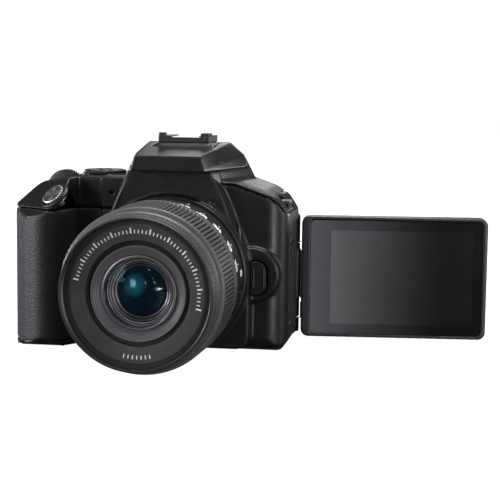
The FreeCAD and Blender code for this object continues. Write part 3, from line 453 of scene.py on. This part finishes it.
def cast(node, voxel, rounds, look=None, extra=()):
    """Stands for a CAD node: the same solid with its edges and corners rounded as a moulding's are, and with any
    extra boxes grown into it. voxel is in millimetres, and rounds says how far the corners are worn."""
    mesh = frame["nodes"][node].data.copy()
    mesh.transform(Matrix.Diagonal((1 / MM, 1 / MM, 1 / MM, 1)))
    if extra:
        form = bmesh.new()
        form.from_mesh(mesh)
        blocks(form, extra)
        form.to_mesh(mesh)
        form.free()
    carrier = bpy.data.objects.new("carrier", mesh)
    bpy.context.scene.collection.objects.link(carrier)
    remesh = carrier.modifiers.new("voxels", "REMESH")
    remesh.mode = "VOXEL"
    remesh.voxel_size = voxel
    smooth = carrier.modifiers.new("wear", "SMOOTH")
    smooth.factor = 0.5
    smooth.iterations = rounds
    graph = bpy.context.evaluated_depsgraph_get()
    made = bpy.data.meshes.new_from_object(carrier.evaluated_get(graph))
    bpy.data.objects.remove(carrier)
    bpy.data.meshes.remove(mesh)
    made.shade_smooth()
    slot = slot_of(node)
    piece = add(f"{node}_moulding", made, look or LOOKS[slot], BODY_OF[node])
    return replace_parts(piece, node)


def sheet_marks(name, shapes, look, body, placed, thick=0.03):
    """Thin raised marks: each shape is a closed list of (u, v) points, and placed(u, v, lift) puts a point of it on
    the camera."""
    def build(form):
        for shape in shapes:
            under = [form.verts.new(placed(u, v, 0.0)) for u, v in shape]
            over = [form.verts.new(placed(u, v, thick)) for u, v in shape]
            form.faces.new(under[::-1])
            form.faces.new(over)
            for n in range(len(shape)):
                m = (n + 1) % len(shape)
                form.faces.new((under[n], under[m], over[m], over[n]))
    return add(name, mesh_of(name, build), look, body)


BOLD = 0.055        # how far numerals are fattened, as a share of their height


def numeral(name, text, height, look, body, placed, thick=0.03):
    """Raised numerals in the built-in typeface, centred on u = v = 0."""
    curve = bpy.data.curves.new(name, "FONT")
    curve.body = text
    curve.size = height
    curve.align_x = "CENTER"
    curve.align_y = "CENTER"
    curve.extrude = thick / 2
    curve.offset = BOLD * height
    curve.resolution_u = 3
    carrier = bpy.data.objects.new(name, curve)
    bpy.context.scene.collection.objects.link(carrier)
    bpy.context.view_layer.update()
    mesh = bpy.data.meshes.new_from_object(carrier)
    bpy.data.objects.remove(carrier)
    bpy.data.curves.remove(curve)
    for vertex in mesh.vertices:
        u, v, lift = vertex.co
        vertex.co = placed(u, v, lift + thick / 2)
    return add(name, mesh, look, body)


def bar(u, v, wide, tall):
    """A mark's outline: a bar centred on (u, v)."""
    return [(u - wide / 2, v - tall / 2), (u + wide / 2, v - tall / 2), (u + wide / 2, v + tall / 2),
            (u - wide / 2, v + tall / 2)]


def disc(u, v, radius, steps=20):
    """A mark's outline: a round dot."""
    return [(u + radius * math.cos(2 * math.pi * n / steps), v + radius * math.sin(2 * math.pi * n / steps))
            for n in range(steps)]


def ring_shape(u, v, radius, wide, steps=16):
    """Outlines of a ring, as short four-cornered stretches."""
    shapes = []
    for n in range(steps):
        a, b = 2 * math.pi * n / steps, 2 * math.pi * (n + 1) / steps
        shapes.append([(u + r * math.cos(t), v + r * math.sin(t))
                       for r, t in ((radius, a), (radius, b), (radius - wide, b), (radius - wide, a))])
    return shapes


def star_shape(radius, wide):
    """Outlines of a star of six spokes."""
    shapes = []
    for n in range(3):
        angle = math.pi * n / 3
        shapes.append([(u * math.cos(angle) - v * math.sin(angle), u * math.sin(angle) + v * math.cos(angle))
                       for u, v in bar(0, 0, 2 * radius, wide)])
    return shapes


def surface_of(piece):
    """A search tree over a piece's faces, in millimetres."""
    points = [vertex.co / MM for vertex in piece.data.vertices]
    return BVHTree.FromPolygons(points, [face.vertices for face in piece.data.polygons])


def moulded_line(name, tree, points, radius, look, body):
    """A low rounded ridge along a line of (x, z) points laid on the surface that faces the lens's way."""
    parts, rounds, steps = 6, 8, 10
    path = []
    for (x0, z0), (x1, z1) in zip(points, points[1:]):
        for n in range(parts):
            x = x0 + (x1 - x0) * n / parts
            z = z0 + (z1 - z0) * n / parts
            hit = tree.ray_cast(Vector((x, -120, z)), Vector((0, 1, 0)))[0]
            if hit:
                path.append(Vector((x, hit.y + radius * 0.3, z)))
    for _ in range(rounds):
        path = [path[0]] + [(a + 2 * b + c) / 4 for a, b, c in zip(path, path[1:], path[2:])] + [path[-1]]

    def build(form):
        rows = []
        for n, at in enumerate(path):
            along = (path[min(n + 1, len(path) - 1)] - path[max(n - 1, 0)]).normalized()
            side = along.cross(Vector((0, 1, 0))).normalized()
            out = side.cross(along)
            thin = radius * min(1, 0.15 + n / parts, 0.15 + (len(path) - 1 - n) / parts)
            rows.append([form.verts.new(at + thin * (side * math.cos(a) + out * math.sin(a)))
                         for a in (2 * math.pi * k / steps for k in range(steps))])
        for first, second in zip(rows, rows[1:]):
            for k in range(steps):
                form.faces.new((first[k], first[(k + 1) % steps], second[(k + 1) % steps], second[k]))
        form.faces.new(rows[0][::-1])
        form.faces.new(rows[-1])

    mesh = mesh_of(name, build)
    soften(mesh, 60)
    return add(name, mesh, look, body)


# ---- camera, light and floor ----

FILL = 0.06         # what the white surroundings add to the light
BACKDROP = 1.05     # how bright they look
SOFTBOXES = [       # name, place, what it is aimed at, size, power
    ("top_softbox", (0.15, 0.0, 0.95), (0, 0.0, 0.05), (0.6, 0.5), 14),
    ("left_softbox", (-1.0, -0.3, 0.14), (-0.04, 0, 0.04), (0.5, 0.35), 9),
    ("left_key", (-0.7, -0.9, 0.3), (-0.02, 0, 0.05), (0.3, 0.4), 3),
    ("right_strip", (0.95, -0.05, 0.15), (0.03, 0, 0.04), (0.15, 0.4), 2.4),
    ("right_low", (0.42, -0.6, 0.03), (0.04, 0, 0.03), (0.12, 0.06), 1.8),
    ("rear_left", (-0.75, 0.9, 0.12), (-0.02, 0.02, 0.04), (0.4, 0.2), 2.8),
    ("rear_right", (0.8, 0.9, 0.12), (0.02, 0.02, 0.04), (0.4, 0.2), 2.8),
    ("spark_near", (0.0, -1.1, 0.42), (0, -0.08, 0.035), (0.06, 0.06), 0.15),
    ("spark_far", (0.45, -1.0, 0.38), (0, -0.08, 0.035), (0.06, 0.06), 0.15),
    ("back_softbox", (-0.08, 1.1, 0.37), (0.0, 0, 0.07), (0.35, 0.25), 0.95),
]


def camera():
    """The view from slightly above and to the right of straight ahead."""
    azimuth, elevation, roll = math.radians(8.486), math.radians(6.683), math.radians(0.705)
    target = Vector((29.44, 0, 41.16)) * MM
    distance = 0.6008
    back = Vector((math.sin(azimuth) * math.cos(elevation), -math.cos(azimuth) * math.cos(elevation),
                   math.sin(elevation)))
    right = Vector((math.cos(azimuth), math.sin(azimuth), 0))
    up = back.cross(right)
    level, rise = math.cos(roll), math.sin(roll)
    right, up = level * right + rise * up, level * up - rise * right
    data = bpy.data.cameras.new("camera")
    data.lens = 98.3
    data.sensor_width = 36
    data.clip_start = 0.02
    data.clip_end = 20
    viewer = bpy.data.objects.new("camera", data)
    viewer.matrix_world = Matrix((
        (right.x, up.x, back.x, 0), (right.y, up.y, back.y, 0), (right.z, up.z, back.z, 0), (0, 0, 0, 1),
    ))
    viewer.location = target + back * distance
    bpy.context.scene.collection.objects.link(viewer)
    bpy.context.scene.camera = viewer
    bpy.context.scene.view_settings.view_transform = "Standard"


def white_floor():
    """A wide pale floor that shows white and leaves the light to the softboxes."""
    form = bmesh.new()
    bmesh.ops.create_grid(form, x_segments=2, y_segments=2, size=6)
    mesh = bpy.data.meshes.new("floor")
    form.to_mesh(mesh)
    form.free()
    look = Look("white_floor", (0.3, 0.3, 0.3), 0.9, Specular_IOR_Level=0.0, Emission_Strength=1.0,
                Emission_Color=(1, 1, 1, 1))
    look.bump(look.noise(4), 0.05, 0.1)
    mesh.materials.append(look.material)
    floor = bpy.data.objects.new("floor", mesh)
    bpy.context.scene.collection.objects.link(floor)
    floor.visible_diffuse = floor.visible_glossy = floor.visible_transmission = False


def studio_light():
    """White surroundings and the softboxes."""
    world = bpy.data.worlds.new("studio")
    bpy.context.scene.world = world
    world.use_nodes = True
    nodes, links = world.node_tree.nodes, world.node_tree.links
    path = nodes.new("ShaderNodeLightPath")
    strength = nodes.new("ShaderNodeMapRange")
    strength.inputs["To Min"].default_value = FILL
    strength.inputs["To Max"].default_value = BACKDROP
    links.new(path.outputs["Is Camera Ray"], strength.inputs["Value"])
    links.new(strength.outputs["Result"], nodes["Background"].inputs["Strength"])
    nodes["Background"].inputs["Color"].default_value = (1, 1, 1, 1)

    for name, place, aim, size, power in SOFTBOXES:
        data = bpy.data.lights.new(name, "AREA")
        data.shape = "RECTANGLE"
        data.size, data.size_y = size
        data.energy = power
        light = bpy.data.objects.new(name, data)
        light.location = place
        light.rotation_mode = "QUATERNION"
        light.rotation_quaternion = (Vector(aim) - Vector(place)).to_track_quat("-Z", "Y")
        bpy.context.scene.collection.objects.link(light)


# ---- the body ----

def covers():
    """The shells, the rubber parts and the doors, with softened edges."""
    front = cast("front_cover", 0.62, 5)
    tower_lines(surface_of(front))
    cast("top_cover", 0.55, 4)
    cast("rear_cover", 0.6, 4)
    cast("bottom_cover", 0.45, 3)
    flash = surface_of(cast("flash_head", 0.42, 6))
    # two small raised marks at the flash catch, their lighter grey a painted highlight
    for n, points in enumerate([[(18.6, 80.4), (20.4, 79.8)], [(21.0, 79.6), (22.4, 79.0)]]):
        moulded_line(f"flash_catch_{n}", flash, points, 0.42, LINE_GREY, "flash")
    cast("grip_rubber", 0.6, 8)
    cast("thumb_rest", 0.3, 5)
    cast("eyecup", 0.3, 7, SOFT_RUBBER)
    cast("battery_door", 0.35, 3)
    cast("terminal_cover", 0.3, 3, extra=terminal_relief())
    front_stop = ((-10.2, -2.9, 88.0), (10.2, -1.7, 90.2))
    prongs = [((-11.1, -2.9, 90.0), (-8.2, 0.6, 92.2)), ((7.4, -2.9, 90.0), (11.1, 5.5, 92.0))]
    cast("hot_shoe", 0.16, 3, extra=[front_stop, *prongs])
    cast("strap_lugs", 0.12, 3, WORN_STEEL)


def tower_lines(tree):
    """The raised lines that run down both edges of the finder tower, in a lighter grey that is a painted highlight
    on those edges.
    """
    moulded_line("tower_line_screen_side", tree, [
        (15.0, 76.2), (19.4, 72.6), (22.8, 67.0), (25.6, 60.4), (28.0, 53.3), (30.6, 46.0),
    ], 0.65, LINE_GREY, "body")
    moulded_line("tower_line_grip_side", tree, [
        (-17.9, 75.0), (-21.1, 68.0), (-24.3, 60.5), (-26.6, 54.5), (-28.7, 48.5),
    ], 0.5, LINE_GREY, "body")


def terminal_relief():
    """A raised lip to pull on and two low ridges on the rubber cover of the sockets."""
    low, high = span("terminal_cover")
    out = high.x
    return [
        ((out - 0.4, high.y - 2.2, 20), (out + 0.25, high.y - 1.2, 37)),
        ((out - 0.4, low.y + 3, 18), (out + 0.15, high.y - 4, 18.6)),
        ((out - 0.4, low.y + 3, 39), (out + 0.15, high.y - 4, 39.6)),
    ]


def shoe_contacts():
    """The contact pads in the floor of the accessory shoe."""
    floor = span("hot_shoe")[0].z + 0.3
    gold = metal("gold_contact", (0.72, 0.5, 0.2), 0.25)
    turned("shoe_pad_main", [(floor, 0), (floor, 1.6), (floor + 0.12, 1.5), (floor + 0.16, 0)], gold, "body",
           (0, 6.5), "z", 48)
    for n, (x, y) in enumerate([(-4, 11), (-1.4, 12.4), (1.4, 12.4), (4, 11)]):
        turned(f"shoe_pad_{n}", [(floor, 0), (floor, 0.9), (floor + 0.1, 0.85), (floor + 0.14, 0)], gold, "body",
               (x, y), "z", 32)


def shutter_release():
    """The spun metal shutter button in its dark bezel ring."""
    toward = SHUTTER_AXIS.to_track_quat("Z", "Y").to_matrix().to_4x4()
    turn = Matrix.Translation(SHUTTER_AT * MM) @ toward
    crown = 0.9
    r = SHUTTER_R
    button = turned("shutter_button_cap", [
        (-2.6, 0), (-2.6, r), (crown - 0.5, r), (crown - 0.2, r - 0.12), (crown, r - 0.45), (crown - 0.12, r - 1.1),
        (crown - 0.3, r - 2.4), (crown - 0.38, 0),
    ], LOOKS["bright_metal"], "shutter_button", (0, 0), "z", 128, turn=turn)
    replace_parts(button, "shutter_button")
    turned("shutter_button_stem", [(-5.6, 0), (-5.6, 2), (-2.5, 2), (-2.5, 0)], LOOKS["steel"], "shutter_button",
           (0, 0), "z", 48, turn=turn)
    turned("shutter_bezel", [
        (-0.9, r + 0.2), (-0.05, r + 0.25), (0.25, r + 0.55), (0.32, r + 1.0), (0.16, r + 1.5), (-0.3, r + 1.9),
        (-0.9, r + 2),
    ], LOOKS["body_plastic"], "body", (0, 0), "z", 128, turn=turn)


def knurled(name, node, outline, axis, at, count, depth, start, stop, floor):
    """A ribbed wheel that stands for a CAD node. The last five say how its ribs() are cut."""
    piece = turned(name, outline, LOOKS[slot_of(node)], BODY_OF[node], at, axis, count * 8,
                   ribs(count, depth, start, stop, floor, 0.25))
    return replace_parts(piece, node)


def dials():
    """The mode dial with its numbers, the power lever, the main dial and the button between them."""
    low, high = span("mode_dial")
    centre = middle("mode_dial")
    at = (centre.x, centre.y)
    r = (high.x - low.x) / 2
    top = high.z
    base = top - 1.4
    knurled("mode_dial_cap", "mode_dial", [
        (low.z, 0), (low.z, 3.9), (base, 3.9), (base, r - 0.3), (base + 0.15, r), (base + 0.5, r), (base + 0.95, r),
        (top - 0.12, r - 0.35), (top, r - 0.8), (top, r - 1.6), (top - 0.1, r - 1.8), (top - 0.1, 3.2),
        (top - 0.05, 2.9), (top - 0.05, 0),
    ], "z", at, 60, 0.28, base + 0.05, top + 0.05, r - 0.5)
    count, out = 8, 5.6
    for n in range(count):
        angle = math.radians(360 / count * n + 20)
        turn = Matrix.Translation((at[0] + out * math.cos(angle), at[1] + out * math.sin(angle), top - 0.1))
        turn = turn @ Matrix.Rotation(angle - math.pi / 2, 4, "Z")
        numeral(f"mode_numeral_{n}", str(n + 1), 2.3, WHITE_INK, "mode_dial",
                lambda u, v, lift, turn=turn: turn @ Vector((u, v, lift)))
    cast("power_lever", 0.16, 3)
    centre = middle("main_dial")
    low, high = span("main_dial")
    r = (high.z - low.z) / 2
    a, b = low.y, high.y
    knurled("main_dial_wheel", "main_dial", [
        (a, 1.5), (a, r - 1.2), (a + 0.35, r - 0.25), (a + 0.8, r), (b - 0.8, r), (b - 0.35, r - 0.25),
        (b, r - 1.2), (b, 1.5),
    ], "y", (centre.x, centre.z), 44, 0.55, a + 0.2, b - 0.2, r - 0.3)
    cast("iso_button", 0.14, 3)


def index_marks():
    """Plain white index marks on the top plate: a line by the mode dial, a bar and a ring by the lever."""
    def on_top(u, v, lift):
        return (u, v, TOP_PLATE_Z + lift)

    at = middle("mode_dial")
    sheet_marks("dial_index", [bar(at.x + 12.4, at.y, 2.2, 0.45)], WHITE_INK, "body", on_top)
    lever = span("power_lever")[0]
    sheet_marks("lever_marks", [
        bar(at.x - 4.6, lever.y + 0.2, 0.35, 1.3),
        *ring_shape(at.x + 4.9, lever.y + 0.3, 0.62, 0.3),
    ], WHITE_INK, "body", on_top)


def rear_keys():
    """The keys on the back, each with a plain geometric icon."""
    for node in ("live_view_button", "ae_lock_button", "playback_button", "erase_button", "menu_button",
                 "info_button", "set_button", "dioptre_knob"):
        cast(node, 0.13, 4, LOOKS["trim_plastic"] if node == "set_button" else None)
    cast("cross_keys", 0.2, 4)

    def icon(name, node, shapes):
        centre = middle(node)
        back = span(node)[1].y + 0.01
        sheet_marks(name, shapes, WHITE_INK, BODY_OF[node],
                    lambda u, v, lift: (centre.x - u, back + lift, centre.z + v))

    icon("playback_icon", "playback_button", [[(-0.9, -1.1), (1.2, 0), (-0.9, 1.1)]])
    icon("live_view_icon", "live_view_button", [*ring_shape(0, 0, 1.3, 0.3), disc(0, 0, 0.45)])
    icon("menu_icon", "menu_button", [bar(0, v, 2.2, 0.32) for v in (-0.8, 0, 0.8)])
    icon("info_icon", "info_button", [bar(-0.75, -0.6, 0.45, 0.8), bar(0, -0.3, 0.45, 1.4), bar(0.75, 0, 0.45, 2.0)])
    icon("erase_icon", "erase_button", [bar(0, 0.95, 2, 0.3), bar(-0.75, -0.2, 0.3, 1.7), bar(0.75, -0.2, 0.3, 1.7),
                                        bar(0, -1.05, 1.8, 0.3)])
    icon("ae_lock_icon", "ae_lock_button", star_shape(1.3, 0.42))
    arrows = []
    for quarter in range(4):
        angle = quarter * math.pi / 2
        points = [(7.9, 0), (6.9, 0.8), (6.9, -0.8)]
        arrows.append([(u * math.cos(angle) - v * math.sin(angle), u * math.sin(angle) + v * math.cos(angle))
                       for u, v in points])
    icon("cross_arrows", "cross_keys", arrows)


def release_button():
    """The lens release: a plain key with a low raised rim."""
    low, high = span("lens_release_button")
    cast("lens_release_button", 0.13, 3, extra=[
        ((low.x + 0.9, low.y - 0.25, low.z + 3), (low.x + 1.3, low.y + 0.3, high.z - 3)),
        ((high.x - 1.3, low.y - 0.25, low.z + 3), (high.x - 0.9, low.y + 0.3, high.z - 3)),
    ])


def small_body_details():
    """Finder window glass and the washers at the ends of the screen's hinge."""
    low, high = span("eyepiece_lens")
    z = (low.z + high.z) / 2
    window = turned("finder_window", [
        (high.y - 1.2, 0), (high.y - 1.2, 5.6), (high.y + 0.2, 5.6), (high.y + 0.5, 4.5), (high.y + 0.75, 0),
    ], LOOKS["glass"], "body", (0, z), "y", 64)
    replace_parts(window, "eyepiece_lens")
    eye = span("screen_hinge")[0].x + 2.7
    for n, (a, b) in enumerate([(43.1, 43.5), (8.5, 8.9)]):
        turned(f"hinge_washer_{n}", [(a, 1.4), (a, 3.0), (b, 3.0), (b, 1.4)], LOOKS["steel"], "body",
               (eye, HINGE.y), "z", 48)


# ---- the screen ----

def rounded(u0, u1, v0, v1, radius, steps=8):
    """A mark's outline: a rectangle with round corners."""
    points = []
    for cu, cv, first in ((u1 - radius, v1 - radius, 0), (u0 + radius, v1 - radius, 1),
                          (u0 + radius, v0 + radius, 2), (u1 - radius, v0 + radius, 3)):
        for n in range(steps + 1):
            angle = (first + n / steps) * math.pi / 2
            points.append((cu + radius * math.cos(angle), cv + radius * math.sin(angle)))
    return points


def cheek(low, high, half=0.75):
    """A mark's outline: an upright bar with round ends, beside the front face of the screen."""
    points = []
    for angle in (math.pi * (n + 0.5) / 12 for n in range(24)):
        end = high - half if math.sin(angle) > 0 else low + half
        points.append((3.35 + half * math.cos(angle), end + half * math.sin(angle)))
    return points


def screen():
    """The swung-out screen: frame, back shell, hinge and glass. Places on it are measured from its swing axis."""
    along = Vector((math.cos(SCREEN_ANGLE), math.sin(SCREEN_ANGLE), 0))
    out = Vector((math.sin(SCREEN_ANGLE), -math.cos(SCREEN_ANGLE), 0))

    def in_gap(u, v, lift):
        return HINGE + along * (SCREEN_EDGE - lift) + out * u + Vector((0, 0, v))

    def on_panel(u, v, lift):
        return HINGE + along * u + out * (SCREEN_HALF + lift) + Vector((0, 0, v))

    cast("screen_bezel", 0.4, 5, SCREEN_FRAME)
    cast("screen_back_shell", 0.4, 5)
    cast("screen_hinge", 0.25, 3, extra=[((46.7, 17.9, 18), (49.6, 22.0, 40))])
    sheet_marks("hinge_cheeks", [cheek(18, 40), cheek(9, 16.5)], SCREEN_FRAME, "screen", in_gap, 0.38)
    low, high = span("display_panel")
    start, stop = low.x, high.x
    # both the glass and the picture area carry a painted reflection, light at the panel's near edge and dark towards
    # its far side
    glass = display_glass("polarised_glass", (0.15, 0.152, 0.168), (0.008, 0.008, 0.009), start - 2, stop - 14,
                          Specular_IOR_Level=0.2, Coat_Weight=0.15, Coat_Roughness=0.03)
    picture = display_glass("picture_area", (0.19, 0.192, 0.205), (0.012, 0.012, 0.0118), start + 7, stop - 14,
                            Specular_IOR_Level=0.2, Coat_Weight=0.15, Coat_Roughness=0.03)
    bottom, top = low.z, high.z
    plate = sheet_marks("screen_glass", [rounded(7.55, 83.95, bottom + 0.05, top - 0.05, 2.0)], glass, "screen",
                        lambda u, v, lift: on_panel(u, v, lift - 1.0), 1.0)
    inner = sheet_marks("screen_picture", [rounded(16.6, 80.0, bottom + 4.5, bottom + 46.8, 0.4)], picture, "screen",
                        on_panel, 0.03)
    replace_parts(plate, "display_panel")


# ---- the lens ----

def zoom_ring():
    """The ribbed zoom ring with its dark band of numbers. Returns the band's radius."""
    front, back = ZOOM_LOW.y, ZOOM_HIGH.y
    r = ZOOM_HIGH.x
    grip_start = front + 0.9
    outer = [(y, r - 0.6 + 0.6 * (y - front) / (-60.4 - front))
             for y in stretch(grip_start - 0.3, GRIP_END + 0.2, 18)]
    zoom = turned("zoom_grip", [
        (front, 30.4), (front, r - 1.2), (front + 0.2, r - 0.8), (front + 0.5, r - 0.62),
        *outer, (-60.2, r - 0.05), (-59.9, r - 0.5), (-59.5, r - 0.5), (-59.2, r - 0.05), (-58.9, r), (-57.9, r),
        (-57.6, r - 0.15), (-57.2, r - 1.1), (-56.8, r - 1.2), (back - 0.5, r - 1.2), (back - 0.1, r - 1.4),
        (back, r - 1.6), (back, 28.2), (-48, 28.2), (-48, 30.4),
    ], banded(ZOOM_RUBBER, BAND_START, (0.008, 0.008, 0.0085)), "zoom_ring", steps=ZOOM_RIBS * 8,
        relief=ribs(ZOOM_RIBS, 1.0, grip_start, GRIP_END, 31, 0.4, 0.72))
    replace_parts(zoom, "zoom_ring")
    return r - 1.2


def focus_ring():
    """The narrow ribbed focus ring."""
    start, stop = FOCUS_LOW.y, FOCUS_HIGH.y
    r = FOCUS_HIGH.x
    focus = turned("focus_grip", [
        (start, 28.8), (start, 29.7), (start + 0.2, 30.0),
        *[(y, 30.05 + 0.3 * (y - start - 0.3)) for y in stretch(start + 0.3, start + 2.7, 8)],
        (start + 2.9, r - 0.35), (start + 3.4, r - 0.12), (start + 4.2, r), (stop - 0.9, r),
        (stop - 0.3, r - 0.2), (stop, r - 0.6), (stop, 28.8),
    ], RIB_RUBBER, "focus_ring", steps=FOCUS_RIBS * 6,
        relief=ribs(FOCUS_RIBS, 0.6, start + 0.25, start + 2.75, 29.5, 0.25, 0.6))
    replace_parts(focus, "focus_ring")


def lens_front():
    """The filter thread, the plate with the scale, and the rings that step down to the glass."""
    thread = []
    for n in range(7):
        y = LIP_Y + 0.5 + 0.42 * n
        thread += [(y, 28.98), (y + 0.21, 28.55)]
    turned("filter_thread_turns", [*thread, (LIP_Y + 3.3, 29.05), (LIP_Y + 0.4, 29.05)], LOOKS["lens_plastic"],
           "inner_barrel", steps=192)
    plate = turned("name_plate_ring", [
        (NAME_Y + 0.05, 26.8), (NAME_Y - 0.02, 26.5), (NAME_Y + 0.02, 26.0), (NAME_Y + 0.44, 20.9),
        (NAME_Y + 0.5, 20.6), (NAME_Y + 0.8, 20.4), (NAME_Y + 1.8, 20.3), (NAME_Y + 1.8, 26.8),
    ], LOOKS["name_plate"], "inner_barrel", steps=256)
    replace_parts(plate, "name_ring")
    turned("light_baffle", [
        (NAME_Y + 1.6, 20.5), (NAME_Y + 2.6, 20.2), (NAME_Y + 2.8, 18.4), (NAME_Y + 4.4, 18.2),
        (NAME_Y + 4.8, 19.2), (NAME_Y + 4.8, 20.5),
    ], BAFFLE, "inner_barrel", steps=256)
    steps = [(NAME_Y + 1.5, 18.5), (NAME_Y + 1.3, 18.3), (NAME_Y + 1.4, 17.9)]
    for n in range(4):
        radius = 17.7 - 0.75 * n
        depth = NAME_Y + 1.9 + 0.62 * n
        steps += [(depth, radius), (depth + 0.05, radius - 0.2), (depth + 0.35, radius - 0.62)]
    turned("stepped_cone", [*steps, (NAME_Y + 4.6, 14.9), (NAME_Y + 5.2, 14.9), (NAME_Y + 5.2, 18.5)],
           CONE_GREY, "inner_barrel", steps=256)
    turned("retaining_ring", [
        (-88.2, 13.5), (-88.6, 13.65), (-88.7, 14.0), (-88.55, 14.5), (-88.1, 14.8), (-86.9, 14.95), (-86.2, 15.05),
        (-85.4, 15.05), (-85.6, 13.5), (-86.6, 13.5),
    ], RIM_METAL, "inner_barrel", steps=192)
    turned("groove_ring", [
        (NAME_Y + 0.3, 28.2), (NAME_Y - 0.3, 27.9), (NAME_Y - 0.5, 27.5), (NAME_Y - 0.4, 27.1),
        (NAME_Y + 0.2, 26.9),
    ], LOOKS["name_plate"], "inner_barrel", steps=192)


def glass_group():
    """The front element with deeper elements and dark rings behind it."""
    front = coated_glass("front_coated_glass", (0.95, 0.98, 1.0), (0.5, 0.85, 0.95), 1.22,
                         Transmission_Weight=1.0)
    curve = [(-88.4 + 2.6 * (radius / FRONT_GLASS_R) ** 2, radius) for radius in stretch(0, FRONT_GLASS_R, 14)]
    dome = turned("front_lens", [*curve, (-84.9, FRONT_GLASS_R), (-85.0, 13.0), (-86.3, 8), (-86.9, 0)], front,
                  "inner_barrel", steps=128)
    dome.visible_shadow = False
    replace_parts(dome, "front_element")
    back = [(-84.6 + 3.4 * (radius / INNER_GLASS_R) ** 2, radius) for radius in stretch(0, INNER_GLASS_R, 14)]
    turned("second_lens", [*back, (-79.0, INNER_GLASS_R), (-79.0, 0)], inner_glass_painted_reflections(), "inner_barrel", steps=96)
    steps = []
    for n, (radius, depth) in enumerate([(13.6, -84.6), (12.7, -84.2), (11.8, -83.7), (10.7, -83.1)]):
        steps += [(depth, radius), (depth + 0.9, radius - 0.35), (depth + 0.95, radius - 0.55)]
        ridge = radius - 0.6
        turned(f"inner_ring_{n}", [
            (depth + 0.2, ridge + 0.26), (depth, ridge), (depth + 0.2, ridge - 0.26),
            (depth + 0.9, ridge - 0.3), (depth + 0.9, ridge + 0.3),
        ], CONE_GREY if n in (0, 1) else RIM_METAL, "inner_barrel", steps=128)
    turned("inner_baffle", [*steps, (-81.0, 9.6), (-80.2, 9.6), (-80.2, 14.0), (-84.4, 14.0)], BAFFLE,
           "inner_barrel", steps=192)


def inner_glass_painted_reflections():
    """A deep blue-black element with painted reflections: a teal patch on one side painted where a softbox would
    mirror in the coating, faint concentric rings painted as the rings inside the lens mirrored in the glass, and
    bluer towards the rim.
    """
    look = Look("inner_coated_glass", (0.0, 0.003, 0.006), 0.03, IOR=1.4, Specular_Tint=(0.6, 0.9, 1.0, 1))
    painted_reflection_spot = look.node("ShaderNodeVectorMath", "Value", operation="DISTANCE", Vector=look.mm)
    look.feed(painted_reflection_spot.node.inputs[1], (-2.6, -84, AXIS_Z + 2.4))
    out = look.node("ShaderNodeVectorMath", "Value", operation="DISTANCE", Vector=look.mm)
    look.feed(out.node.inputs[1], (0, -82.5, AXIS_Z))
    # painted reflections: concentric rings standing in for the rings inside the lens mirrored in the glass
    rings = look.node("ShaderNodeMath", "Value", operation="SINE")
    look.feed(rings.node.inputs[0], look.between(out, 0, INNER_GLASS_R, 0, 38))
    body = look.mix(look.between(rings, -1, 1), (0.0, 0.0015, 0.003), (0.0015, 0.0045, 0.0075))
    edged = look.mix(look.between(out, 5.5, 9.4), body, (0.002, 0.008, 0.014))
    # painted reflection: a teal patch where a softbox would mirror in the coating
    look.paint(look.mix(look.between(painted_reflection_spot, 5.2, 0.0), edged, (0.003, 0.07, 0.095)))
    look.rough(look.between(look.noise(3), 0.3, 0.7, 0.07, 0.12))
    return look.material


def lens_marks(band_r):
    """Numbers on the zoom ring, index marks on the fixed barrel, and a scale round the front plate."""
    def on_cylinder(degrees, y, radius, tall=1.0):
        def placed(u, v, lift):
            angle = math.radians(degrees) - u / radius
            out = radius + lift
            return (out * math.cos(angle), y - v * tall, AXIS_Z + out * math.sin(angle))
        return placed

    for n, (text, degrees) in enumerate([("50", 72), ("40", 57.5), ("30", 43), ("25", 27), ("20", 12)]):
        numeral(f"zoom_numeral_{n}", text, 4.8, WHITE_INK, "zoom_ring", on_cylinder(degrees, -51.0, band_r, 1.7))
        sheet_marks(f"zoom_tick_{n}", [bar(0, 0, 0.4, 2.0)], WHITE_INK, "zoom_ring",
                    on_cylinder(degrees, -45.6, band_r))
    barrel_r = 32
    sheet_marks("barrel_index", [bar(0, 0, 2.6, 4.2)], WHITE_INK, "body", on_cylinder(4.5, -40.4, barrel_r))
    sheet_marks("zoom_index", [bar(0, 0, 0.5, 2.6)], WHITE_INK, "body", on_cylinder(72, -41.6, barrel_r))
    for node in ("focus_switch", "stabiliser_switch"):
        cast(node, 0.1, 2)

    scale_r, plate_r = 24.3, 26.0
    slope = 0.5 / 6.1

    def on_plate(degrees):
        angle = math.radians(degrees)
        return lambda u, v, lift: (
            (scale_r + v) * math.cos(angle) + u * math.sin(angle),
            NAME_Y + 0.02 + (plate_r - (scale_r + v)) * slope - lift,
            AXIS_Z + (scale_r + v) * math.sin(angle) - u * math.cos(angle),
        )

    place, n = 168.0, 0
    while place > -12:
        wide, tall = (0.42, 1.3) if n % 5 else (0.62, 2.1)
        sheet_marks(f"plate_tick_{n}", [bar(0, (tall - 2.1) / 2, wide, tall)], WHITE_INK, "inner_barrel",
                    on_plate(place))
        place -= 3.6
        n += 1
    for n, degrees in enumerate(range(-78, -103, -4)):
        sheet_marks(f"plate_foot_tick_{n}", [bar(0, 0, 0.45, 1.5)], WHITE_INK, "inner_barrel", on_plate(degrees))


# ---- finish ----

def finish_nodes():
    """Gives every CAD node that still shows the look of its slot."""
    for node, thing in frame["nodes"].items():
        if thing.hide_render:
            continue
        look = LIP_BLACK if node == "inner_barrel" else LOOKS[slot_of(node)]
        for place in thing.material_slots:
            place.material = look
        if not thing.material_slots:
            thing.data.materials.append(look)


camera()
white_floor()
studio_light()
covers()
shoe_contacts()
shutter_release()
dials()
index_marks()
rear_keys()
release_button()
small_body_details()
screen()
band_r = zoom_ring()
focus_ring()
lens_front()
glass_group()
lens_marks(band_r)
finish_nodes()
